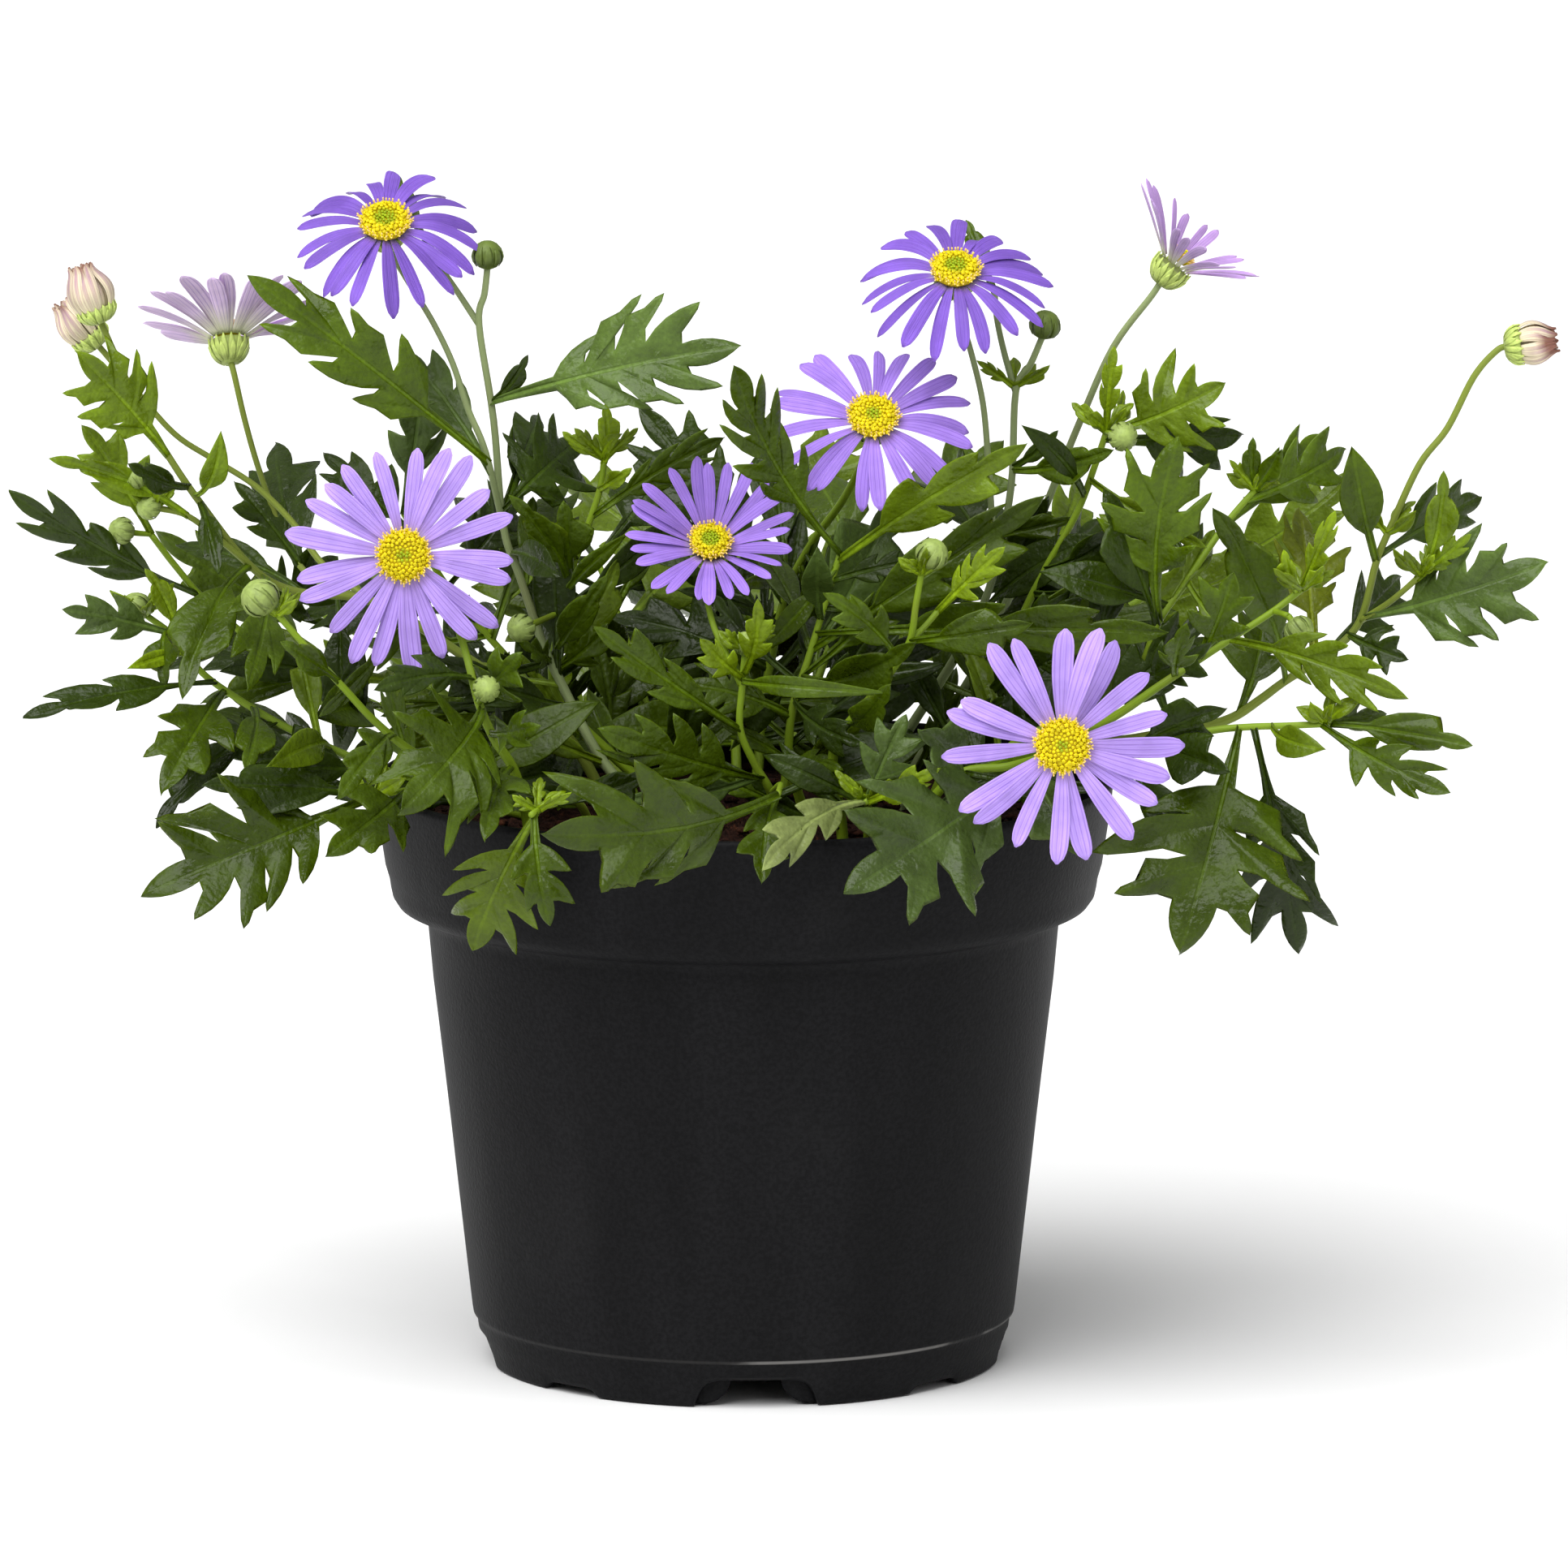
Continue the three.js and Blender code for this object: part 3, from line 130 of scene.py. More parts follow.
# Leaves may stand this close together along a stem. Filling leaves nearer than FILLING_FRONT stay below
# LOW_FILLING, and each may be tried this many times. Their length in mm and their half width, a share of the
# length, are drawn between two limits.
FOOT_STEP = 1.5
FILLING_FRONT = -30.0
LOW_FILLING = 108.0
FILLING_TRIES = 60
FILLING_LENGTH = (14, 34)
FILLING_HALF = (0.06, 0.17)
FILLING_TONES = (0, 0, 0, 1, 1, 2)
TUFT_TURN = 2.39996

# Seeds of the numbers drawn for each kind of piece
PEAT_SEED = 41
SHOOT_SEED = 1000
BACK_SHOOT_SEED = 2000
TUFT_SEED = 77
FILLING_SEED = 99
DISC_SEED = 300
CLOSED_SEED = 400

# Stage: half side and level of the floor and strength of the sky, then each distant light's name, place,
# spread in degrees and strength
FLOOR_SIDE = 6.0
FLOOR_LEVEL = -0.0002
FLOOR_SHADE = (0.93, 0.93, 0.93, 1)
SKY = 0.33
LAMPS = (
    ("key", (-0.8, -1.2, 2.2), 62, 3.8),
    ("fill", (1.5, -1.6, 1.1), 60, 0.4),
)
SENSOR = 36.0

# A place on the plant is written as seen from the front: (across, height, depth), where across and
# height are read in the plane of the pot's axis and depth runs back from that plane.
EYE = np.array([6.6, -2560.5, 546.0])
LOOK_AT = np.array([6.6, 0.0, 94.5])
FRAME_WIDTH = 254.8
UP = np.array([0.0, 0.0, 1.0])

# Low leaves are darker: share of a leaf's tone at these heights of its tip
TONE_HEIGHTS = (75.0, 150.0)
TONE_SHARES = (0.78, 1.16)

# Leaf tones by number: 0 old dark, 1 middle, 2 light, 3 grey-green, 4 young, 5 olive, 6 pale underside
LEAF_TONES = ("leaf_dark", "leaf_middle", "leaf_light", "leaf_grey", "leaf_young", "leaf_olive", "leaf_pale")
STEM_TONES = ("stem_olive", "stem_pale", "stem_brown")

# Shoots: root is where the stem leaves the peat, path the places it passes, then its branches, its
# leaves and its buds. A branch starts on the stem at its first place.
# Leaf: (foot across, foot height, tip across, height, depth, half width, finger pairs, roll, arch, tone)
# Bud: (across, height, depth, radius)
SHOOTS = {
    "shoot_left_flowers": {
        "stem": 2,
        "root": (-22, -4),
        "path": [
            (-30, 104, -6), (-46, 116, -8), (-60, 124.5, -8), (-73, 126.3, -10), (-80, 130.5, -12),
            (-88, 140.8, -14), (-93, 148.3, -14), (-98, 157, -13), (-103.4, 169.2, -12),
        ],
        "branches": [
            [(-60, 124.5, -8), (-68, 130.5, -3), (-73, 137.5, 0), (-79, 143.5, 1), (-86, 148, 1),
             (-92, 152, 1), (-98, 158.8, 1), (-103.2, 165.2, 1)],
            [(-60, 124.5, -8), (-70, 128.5, 7), (-74.5, 135.5, 10), (-78.2, 145.5, 10),
             (-80.6, 154, 10), (-82.3, 161.6, 10)],
            [(-80, 130.5, -12), (-84, 134, -14), (-90, 138.6, -16), (-95.4, 140, -18)],
        ],
        "leaves": [
            (-93, 148.3, -108, 165.5, -24, 8, 3, 10, 0.05, 2),
            (-90.5, 143.5, -99.5, 147.2, -30, 2.6, 1, 0, 0.05, 0),
            (-73.5, 130, -82.5, 144.3, 12, 4.2, 2, 20, 0.08, 0),
            (-72, 127, -92, 133.8, 8, 2.6, 2, 30, 0.05, 0),
            (-80.5, 130.5, -91, 108.5, -36, 5, 1, 15, 0.12, 1),
            (-78, 128.5, -80.5, 110, -44, 5.4, 2, -20, 0.12, 1),
            (-90, 138.6, -112.5, 148, -26, 1.8, 1, 10, 0.04, 2),
            (-89, 141.5, -84.5, 152.5, -20, 2.2, 0, 20, 0.25, 2),
            (-88, 140, -85, 129, -26, 2.6, 1, 10, 0.1, 0),
        ],
        "buds": [(-96.4, 140, -19, 1.9), (-98.5, 144.8, -20, 1.8)],
    },
    "shoot_left_long": {
        "stem": 0,
        "root": (-34, -16),
        "path": [
            (-40, 90.5, -18), (-48, 94, -20), (-58, 96.6, -22), (-66, 99.9, -22), (-74.5, 104, -22),
            (-82, 108.5, -20), (-88, 113, -18), (-92, 118.5, -16), (-97, 122.4, -16),
        ],
        "branches": [
            [(-48, 94, -20), (-54, 93.6, -28), (-60, 92.4, -34)],
        ],
        "leaves": [
            (-92, 119, -97, 130, -20, 2.1, 1, 10, 0.05, 4),
            (-92, 121, -110.5, 123.3, -26, 3.6, 2, 15, 0.06, 3),
            (-93.5, 120, -94, 110.5, -24, 4, 1, 20, 0.2, 1),
            (-86, 111, -117, 105.5, -34, 3.6, 2, 40, 0.06, 0),
            (-84, 109.5, -94.5, 92.8, -42, 7.5, 2, 10, 0.1, 1),
            (-80, 107, -81, 96.5, -40, 3.4, 1, -10, 0.1, 1),
            (-76, 104.5, -95.5, 87.2, -30, 3.6, 1, 30, 0.05, 0),
            (-60, 92.4, -98, 76, -50, 11, 4, 12, 0.1, 1),
            (-55, 93.4, -68, 82.5, -50, 6.6, 2, 15, 0.12, 1),
            (-60, 92.4, -88, 94.2, -46, 4.4, 1, 30, 0.05, 0),
            (-60, 97, -80, 97.4, -38, 2.6, 2, 10, 0.04, 0),
            (-91, 116, -100, 113.5, -28, 1.4, 0, 10, 0.05, 4),
            (-68, 100.5, -77.5, 97.3, -50, 3, 0, 0, 0.1, 2),
        ],
        "buds": [(-98.6, 123.6, -16, 2.4)],
    },
    "shoot_left_mid": {
        "stem": 0,
        "root": (-30, 12),
        "path": [
            (-38, 98, 12), (-52, 104, 12), (-66, 110.5, 12), (-78, 117, 10), (-87, 124.5, 8),
            (-92, 130.3, 6), (-96, 135.6, 4),
        ],
        "branches": [],
        "leaves": [
            (-96, 135.6, -107, 153.5, 0, 5, 2, 10, 0.06, 2),
            (-88, 125.5, -119, 142.8, -2, 5, 3, -25, 0.08, 0),
            (-70, 112, -96, 116, 24, 6, 2, 40, 0.1, 0), (-80, 119, -66, 132, 24, 7, 3, 20, 0.1, 0),
        ],
        "buds": [(-100.8, 136.2, 1, 2.1)],
    },
    "shoot_left_bud": {
        "stem": 0,
        "root": (-40, -24),
        "path": [
            (-46, 95.5, -30), (-54, 100, -36), (-60, 105, -39), (-65, 110.5, -41), (-70, 116, -42),
            (-75.5, 122.4, -42),
        ],
        "branches": [],
        "leaves": [
            (-66, 111, -75, 118, -50, 2.4, 1, 20, 0.1, 1), (-57, 103, -66, 92, -62, 4, 2, 10, 0.15, 1),
        ],
        "buds": [(-78.4, 125.2, -42, 3)],
    },
    "shoot_front_left": {
        "stem": 0,
        "root": (-34, -33),
        "path": [
            (-37, 96, -37), (-40.5, 102, -39), (-43, 108, -38), (-45, 116, -35), (-47.5, 123, -29),
            (-51.5, 129, -27), (-54.3, 131.6, -28.5),
        ],
        "branches": [],
        "leaves": [
            (-43, 107, -56, 89.7, -66, 11, 3, 0, 0.14, 1), (-43, 108, -36, 116, -50, 5, 2, 0, 0.05, 1),
            (-41, 102.5, -33, 104, -56, 3.4, 2, 0, 0.08, 1),
            (-44, 112, -60, 110, -52, 4, 2, 25, 0.1, 0), (-38, 97.5, -42, 85, -64, 5, 2, 10, 0.1, 1),
        ],
        "buds": [(-41.7, 110.2, -50, 2)],
    },
    "shoot_front_low": {
        "stem": 0,
        "root": (-24, -36),
        "path": [
            (-26.5, 91, -42), (-31, 91.6, -50), (-34.5, 89.4, -60),
        ],
        "branches": [],
        "leaves": [
            (-33.5, 90.2, -44, 67, -54, 8.5, 3, 5, 0.12, 2),
            (-34, 89.7, -31.5, 71, -64, 5, 2, 0, 0.1, 1),
            (-30, 91.4, -15, 96.5, -50, 4, 1, 20, 0.1, 0),
            (-31, 91.6, -25.5, 95, -58, 2, 0, 20, 0.05, 1),
        ],
        "buds": [],
    },
    "shoot_upper_left": {
        "stem": 1,
        "root": (-16, -14),
        "path": [
            (-24, 100, -12), (-30, 112, -10), (-32.5, 117.5, -10), (-36, 128, -10), (-38.9, 137, -10),
            (-40.4, 154.3, -10), (-42.7, 169.9, -10), (-41.8, 175, -10), (-41.3, 179.4, -10),
        ],
        "branches": [
            [(-42.7, 169.9, -10), (-46, 175, -7), (-49.3, 180, -4), (-51, 184, -1)],
            [(-38.9, 137, -10), (-41.7, 149, -15), (-44.5, 156, -15), (-47, 163.6, -15),
             (-50, 170, -14), (-53.2, 175.4, -11), (-55.7, 179.6, -7.5)],
        ],
        "leaves": [
            (-40, 157.5, -0.3, 166.5, -22, 9, 4, -12, 0.08, 3),
            (-41, 147, -80, 178, -26, 7, 3, 10, 0.06, 1),
            (-40.4, 146, -55.5, 165.5, 4, 5.5, 2, 10, 0.08, 3),
            (-39.5, 139, -26.5, 151, 6, 9, 3, 10, 0.1, 0),
            (-50.5, 183, -56, 194.6, 8, 1.8, 1, 0, 0.05, 1),
            (-40, 157.5, -34.8, 165, -12, 1.5, 1, 0, 0.05, 0),
            (-39, 138, -33, 155, 14, 5, 2, 10, 0.1, 0),
        ],
        "buds": [(-41.3, 181.3, -10, 2.4)],
    },
    "shoot_centre_left": {
        "stem": 0,
        "root": (-12, -2),
        "path": [
            (-20, 98, -4), (-28, 106, -6), (-31, 112, -7), (-30, 120, -7), (-28, 129, -8),
            (-25.5, 136, -8), (-23.2, 143, -8), (-22.5, 148, -8),
        ],
        "branches": [],
        "leaves": [
            (-22.6, 147, -22.4, 157, -9, 2.1, 1, 0, 0.1, 4),
            (-25, 138, -3, 151.5, -4, 3.4, 3, 20, 0.08, 1),
            (-28, 129.5, -29, 141, -16, 4, 1, 0, 0.08, 1),
            (-28.5, 127.5, -38, 142, -22, 2.2, 1, 10, 0.08, 1),
            (-29.5, 122.5, -11, 138, 6, 3, 0, 25, 0.08, 0),
            (-30.8, 113, -22, 121, -7.4, 4, 2, 20, 0.1, 1),
            (-29, 107, -46, 112, -22, 4, 2, 30, 0.1, 0),
            (-23.4, 142.5, -18, 146.4, -14, 1.6, 1, 0, 0.1, 4),
            (-28.5, 126.5, -18.5, 136, -22, 1.6, 0, 20, 0.1, 1),
            (-30.5, 116, -22, 129, -24, 2.2, 1, 10, 0.1, 1),
        ],
        "buds": [(-36.1, 120.1, -20, 2.2)],
    },
    "shoot_left_back": {
        "stem": 0,
        "root": (-18, 14),
        "path": [
            (-26, 102, 18), (-38, 115, 22), (-48, 127, 22), (-55, 139, 18),
        ],
        "branches": [],
        "leaves": [
            (-55, 139, -51.5, 163.5, 14, 6.5, 2, 0, 0.06, 3),
            (-52, 134, -68, 149, 26, 6, 2, 20, 0.1, 0), (-44, 122, -72, 122, 36, 6, 3, 30, 0.1, 0),
            (-48, 127, -36, 143, 34, 6, 3, 20, 0.1, 0),
        ],
        "buds": [],
    },
    "shoot_bloom_mid": {
        "stem": 0,
        "root": (6, -22),
        "path": [
            (4.5, 93, -30), (2, 97.5, -32), (-0.5, 103.5, -33), (-0.2, 110.5, -33), (0.3, 116.5, -33),
        ],
        "branches": [
            [(-0.2, 110.5, -33), (-2.5, 115.5, -32), (-4.8, 120.5, -30), (-6, 126, -25),
             (-5.8, 130.4, -17.6)],
            [(4.5, 93, -30), (6, 94.4, -46), (5.6, 92.8, -60)],
        ],
        "leaves": [
            (5.6, 92.8, -33, 86.3, -84, 12, 3, -8, 0.1, 1),
            (3.5, 95, -23.5, 103.5, -52, 6, 3, -10, 0.06, 1),
            (-0.5, 103.5, -24.5, 120.5, -48, 3.6, 2, 20, 0.05, 1),
            (0, 113, 2.4, 125, -40, 2.6, 2, 0, 0.1, 4), (-0.1, 112, -7, 118.5, -40, 3, 2, 0, 0.1, 4),
            (5.8, 93.4, 3, 78, -70, 5, 2, 0, 0.1, 1),
            (-0.1, 111.5, 24, 109.5, -52, 1.7, 0, 10, 0.3, 1),
            (3, 96, -19, 92, -44, 3.2, 1, 10, 0.06, 3),
        ],
        "buds": [(0.4, 117.6, -33, 2)],
    },
    "shoot_centre": {
        "stem": 0,
        "root": (10, -12),
        "path": [
            (7.5, 98, -18), (8, 107, -20), (10.5, 115, -20), (13.5, 125, -20), (15.7, 132.4, -20),
        ],
        "branches": [],
        "leaves": [
            (15.6, 132, -1.5, 163.3, -41.8, 6, 4, 20, -0.06, 1),
            (15.5, 131.5, 46, 150.5, -34, 5, 2, 15, 0.06, 2),
            (12, 119, 69, 119.5, -36, 4.6, 2, 20, 0.07, 1),
            (11, 116, 24, 141, -10, 7.5, 1, 10, 0.06, 3),
            (12.5, 121.5, 12, 133.5, -34, 2.6, 0, 0, 0.06, 3),
            (11, 116.5, 49, 142, -22, 5.4, 2, 20, 0.06, 1), (8.2, 108, 20, 101, -36, 4, 2, 20, 0.1, 0),
            (8, 106, -10, 111, -24, 5, 3, 20, 0.1, 1), (9.5, 112, 28, 118, -44, 3.2, 1, 20, 0.08, 1),
        ],
        "buds": [],
    },
    "shoot_bloom_upper_mid": {
        "stem": 0,
        "root": (2, 4),
        "path": [
            (3, 104, 8), (4.5, 115, 9), (7, 126, 8), (11, 134, 5), (16, 141, -1), (19.3, 147.5, -7),
            (20.6, 151.4, -12.5),
        ],
        "branches": [],
        "leaves": [
            (6.5, 124, -17, 156.5, 20, 7, 3, 10, 0.06, 0), (7, 126, 3.5, 154.7, 24, 4, 1, 10, 0.06, 0),
            (4.3, 114, -22, 122, 16, 6, 2, 30, 0.1, 0), (6, 122, 9.5, 140, 16, 2, 0, 0, 0.05, 0),
            (5, 118, -14, 140, 22, 7, 3, 20, 0.1, 0), (4, 112, 20, 136, 26, 7, 2, 20, 0.1, 0),
        ],
        "buds": [],
    },
    "shoot_centre_bud": {
        "stem": 0,
        "root": (16, -24),
        "path": [
            (14.5, 98, -29), (16, 103, -31), (20, 108, -33), (24, 113, -34), (27, 118, -35),
            (28, 124, -36), (28.9, 129.2, -36),
        ],
        "branches": [
            [(27, 118, -35), (29.5, 120.5, -34), (32, 123.5, -33)],
        ],
        "leaves": [
            (31.5, 123, 42.5, 133.5, -40, 3.2, 3, 0, 0.05, 4),
            (27, 118, 47, 121, -44, 4, 1, 20, 0.08, 1), (25, 114.5, 13, 126, -44, 3.4, 2, 10, 0.1, 1),
            (17, 104.5, 24, 111, -54, 3.2, 1, 10, 0.1, 1),
        ],
        "buds": [(30.6, 132.4, -37, 2.5)],
    },
    "shoot_front_right_low": {
        "stem": 0,
        "root": (20, -38),
        "path": [
            (20.2, 91, -45), (20, 91.6, -52),
        ],
        "branches": [],
        "leaves": [
            (20, 91.4, 3, 80, -73.9, 4.4, 2, 20, 0.1, 6),
            (20.1, 91.4, 26.5, 106, -50, 4.4, 2, 0, 0.08, 3),
            (20, 91.5, 32, 97, -61.9, 2.6, 2, 0, 0.1, 4),
        ],
        "buds": [],
    },
    "shoot_upper_right": {
        "stem": 1,
        "root": (20, 2),
        "path": [
            (26, 102, 2), (33, 113, 0), (38, 122, -2), (40.8, 130, -4), (43.4, 143.5, -6),
            (44.1, 158.9, -6), (46.5, 163.5, -6), (48.4, 168, -6),
        ],
        "branches": [
            [(44.1, 158.9, -6), (42.3, 165, -4), (41, 171, -1), (40.6, 176, 2)],
            [(40.8, 130, -4), (40.3, 138, -9), (39.7, 147, -11), (38.8, 157, -11), (36.8, 165.6, -10),
             (35.3, 170.4, -7.6)],
        ],
        "leaves": [
            (43.8, 146, 60, 149.5, -19.9, 3, 1, 10, 0.06, 1), (41, 131, 30, 146, 16, 6, 2, 20, 0.1, 0),
            (39.5, 126, 58, 138, 14, 6, 2, 20, 0.1, 0), (40.7, 175, 36, 187, 10, 1.8, 1, 0, 0.05, 1),
            (43.9, 147, 51, 152.6, -12, 1.4, 1, 0, 0.05, 0), (37, 120, 20, 128, 14, 6, 2, 20, 0.1, 0),
        ],
        "buds": [(48.8, 169.9, -6, 2.4)],
    },
    "shoot_right_flower": {
        "stem": 1,
        "root": (26, 12),
        "path": [
            (32, 104, 14), (38, 114, 12), (44, 127.5, 9), (49.3, 141, 7), (54.6, 154.3, 6),
            (59.9, 166.3, 6), (66, 174.6, 6),
        ],
        "branches": [],
        "leaves": [
            (41, 121, 60, 131, 26, 6, 2, 20, 0.1, 0), (36, 110, 54, 112, 24, 6, 2, 20, 0.1, 0),
            (46, 132, 36, 138, 26, 4, 2, 10, 0.1, 0),
        ],
        "buds": [],
    },
    "shoot_right_leafy": {
        "stem": 0,
        "root": (30, -6),
        "path": [
            (36, 103, -9), (42, 115, -11), (48, 128, -12), (54, 139, -13), (57, 147, -13),
            (58.8, 152.4, -13),
        ],
        "branches": [],
        "leaves": [
            (58.6, 152, 78, 160.5, -18, 7.5, 3, 0, 0.06, 2),
            (58.3, 151, 81, 152, -8, 6.5, 2, 20, 0.08, 0),
            (58.7, 152, 60, 166.5, -20, 1.8, 2, 0, 0.05, 4),
            (55, 142, 45, 153.5, -25.9, 2, 0, 10, 0.06, 0),
            (49, 130, 64, 138.5, -18, 4, 1, 20, 0.12, 0), (47, 126, 66, 129, -22, 3.6, 1, 25, 0.08, 0),
            (43, 117, 55, 125, -26, 5, 2, 20, 0.1, 0),
        ],
        "buds": [(61.5, 151.6, -26, 2.2)],
    },
    "shoot_right_stem": {
        "stem": 0,
        "root": (34, -14),
        "path": [
            (44, 101, -19), (54, 105, -23), (63, 110.5, -25), (65.5, 116, -25), (67.5, 121.5, -25),
            (72, 128, -21), (78, 137, -17), (83, 143, -15),
        ],
        "branches": [],
        "leaves": [
            (67.5, 121.5, 70.5, 151.5, -34, 9.5, 3, 5, 0.06, 1),
            (67, 120.5, 58.5, 143, -30, 5, 1, 15, 0.08, 0),
            (81, 141, 97.6, 149.6, -6, 6, 2, 15, 0.06, 1), (78, 137, 93.5, 152, 0, 5, 2, 15, 0.06, 1),
            (69, 124, 48, 129.5, -28, 3.6, 0, 25, 0.08, 0),
            (83, 143, 82.5, 151.5, -20, 1.6, 1, 0, 0.05, 1),
            (83, 143, 87.2, 149.5, -22, 1.8, 0, 0, 0.05, 1), (64, 112, 76, 118, -34, 4, 2, 20, 0.1, 0),
        ],
        "buds": [],
    },
    "shoot_far_right": {
        "stem": 2,
        "root": (38, 4),
        "path": [
            (52, 99.6, 0), (64, 102, -5), (74, 103.8, -8), (79.5, 105.5, -10), (84, 108.5, -11),
            (88, 111.5, -12), (95, 116, -12), (100, 121.3, -12), (102.6, 131, -12), (105, 137, -12),
            (109.5, 147, -12), (114, 153, -12), (118.2, 161.4, -12), (121.9, 165.7, -12),
        ],
        "branches": [
            [(100, 121.3, -12), (105, 124.6, -17), (110, 129, -20)],
        ],
        "leaves": [
            (88, 111.5, 76, 140, -26, 4.8, 1, 10, 0.08, 1), (93, 115, 90, 140, 4, 7, 3, 15, 0.08, 5),
            (95, 116, 106.5, 128.5, 6, 5.4, 2, 20, 0.08, 0),
            (102.5, 131, 98.5, 150, -16, 3.6, 0, 10, 0.06, 1),
            (103, 132, 119.5, 141.8, 0, 5.6, 2, 15, 0.1, 0),
            (110, 129, 113.4, 146, -26, 2.7, 1, 0, 0.05, 2),
            (101, 121.8, 130.5, 131, -24, 9.5, 3, 0, 0.1, 3),
            (98, 119.6, 108, 115, -18, 4, 2, 10, 0.08, 0), (80, 106, 84, 125, 0, 6.4, 2, 15, 0.08, 1),
            (70, 103.2, 62, 122, 8, 6, 3, 15, 0.1, 0),
            (109.5, 128.6, 118, 135.6, -24, 2, 2, 0, 0.05, 2),
        ],
        "buds": [],
    },
    "shoot_right_young": {
        "stem": 0,
        "root": (40, -14),
        "path": [
            (50, 100.6, -24), (60, 105.5, -30), (68, 111, -32), (74, 115, -31), (80, 119, -29),
            (86, 123, -27), (90.6, 126.6, -26),
        ],
        "branches": [
            [(86, 123, -27), (88.4, 122.2, -30)],
        ],
        "leaves": [
            (79, 118.4, 108, 108.5, -46, 5, 3, 15, 0.1, 2),
            (90.6, 126.6, 96, 139.5, -32, 1.8, 2, 0, 0.05, 4),
            (74, 115, 79.5, 129.5, -38, 6, 2, 15, 0.06, 1),
            (70, 112.4, 72, 121, -42, 3.6, 2, 10, 0.1, 1),
            (90, 126, 87.6, 133, -30, 1.6, 1, 0, 0.05, 4),
        ],
        "buds": [(90.2, 119.8, -31, 2.3)],
    },
    "shoot_right_low": {
        "stem": 0,
        "root": (34, -26),
        "path": [
            (47, 95.4, -31), (58, 98.6, -37), (68, 101.4, -41), (76, 103.3, -42), (82, 103.9, -42),
            (88, 104.1, -42), (95, 104.4, -42),
        ],
        "branches": [],
        "leaves": [
            (94.5, 104.4, 118.5, 100.8, -50, 3, 1, 10, 0.04, 1),
            (94, 104.4, 115, 93, -54, 4.6, 3, 10, 0.08, 1),
            (86, 104, 94.5, 100.2, -54, 2.6, 0, 10, 0.15, 2),
            (80.5, 103.8, 71, 66.5, -60, 15, 3, -5, 0.08, 1),
            (83, 104, 90.5, 66.5, -36, 8, 3, 15, 0.08, 0),
            (62, 99.8, 75.5, 84, -50, 3.2, 0, 10, 0.06, 0), (66, 101, 79, 96.6, -58, 5, 1, 0, 0.1, 0),
            (64, 100.4, 78.5, 107, -52, 4, 1, 0, 0.1, 0),
            (94, 104.4, 104.5, 106, -38, 2.2, 2, 0, 0.05, 1),
        ],
        "buds": [],
    },
    "shoot_bloom_right": {
        "stem": 0,
        "root": (26, -36),
        "path": [
            (34, 95.5, -41), (43, 97.4, -42), (49.5, 99.4, -47), (51.2, 100.6, -54),
        ],
        "branches": [],
        "leaves": [
            (49, 99, 16.5, 76.5, -72.9, 13, 3, 0, 0.02, 3),
            (47, 98.3, 55, 82.5, -62, 5, 1, 10, 0.1, 3),
            (36, 94.8, 28.5, 103.5, -56, 5.4, 1, 10, 0.08, 3),
        ],
        "buds": [],
    },
}

# Shoots of the back and the sides: (root azimuth, lean azimuth, reach, height), in degrees and mm
BACK_SHOOTS = (
    (48, 30, 86, 118),
    (78, 66, 54, 122),
    (92, 92, 84, 112),
    (112, 118, 52, 120),
    (145, 148, 84, 112),
)
BACK_LEAVES = 6
BACK_ROOT_RADIUS = 34.0
BACK_SEED = 7

# Back leaves: length and half width in mm and roll in degrees, each as its least value and its range
BACK_LENGTH = (26, 14)
BACK_HALF = (5.5, 2.5)
BACK_ROLL = (150, 40)

# Back leaves that stand a little nearer or further along the line of sight: (shoot, leaf): mm
BACK_STEPS = {(2, 0): -6.0, (3, 0): 6.0, (5, 1): -6.0, (5, 2): 19.0}

# Back leaf that is left out: (shoot, leaf)
BACK_WITHOUT = (5, 0)

# Blooms: (across, height, depth, axis x, y, z, petals, radius, lift in degrees, droop in mm, tone,
# size of the disc and of its green middle, both as shares)
BLOOMS = {
    "bloom_left_upper": (-57.8, 185.4, -12, 0, -0.61, 0.79, 21, 16.2, 4, 5, "petal_deep", 0.94, 0.7),
    "bloom_right_upper": (34.2, 177.6, -12, 0.03, -0.58, 0.81, 21, 16.4, 4, 5, "petal_deep", 0.9, 0.7),
    "bloom_left_centre": (-54.9, 132.2, -34.5, -0.05, -0.99, 0.12, 21, 19.2, 2, 0.6, "petal", 0.98, 0.36),
    "bloom_centre": (-5.4, 133.3, -20, 0.03, -0.75, 0.66, 24, 15, 19, -0.6, "petal_middle", 0.72, 0.85),
    "bloom_right_centre": (21, 153.8, -17, 0.02, -0.74, 0.67, 21, 17, 4, 3.4, "petal_middle", 0.92, 0.4),
    "bloom_right_front": (51.7, 101, -61, 0.03, -0.99, 0.1, 19, 19.6, 3, 0.4, "petal", 1.02, 0.3),
    "bloom_left_back": (-83.2, 167, 12.5, -0.08, 0.5, 0.86, 24, 16.6, 26, 0.5, "petal_pale", 0.5, 0.4),
    "bloom_right_side": (69.4, 179.4, 6, 0.62, -0.05, 0.78, 19, 14.4, 33, -0.4, "petal_side", 0.34, 0.4),
}

# Share of the full petal width, for blooms with slim petals
SLIM_PETALS = {"bloom_right_side": 0.62, "bloom_left_back": 1.3}

# Closed blooms: (foot across, height, depth, tip across, height, depth, length, radius, withered share)
CLOSED_BLOOMS = {
    "bloom_closed_left_a": (-103.7, 170.2, -12, -107.4, 179.8, -12, 10.4, 3.8, 0.22),
    "bloom_closed_left_b": (-104.2, 166.2, 1, -110.6, 174.4, 1, 10, 3.6, 0.18),
    "bloom_closed_right": (123, 166.3, -12, 131, 167.4, -12, 9, 3.5, 0.4),
}

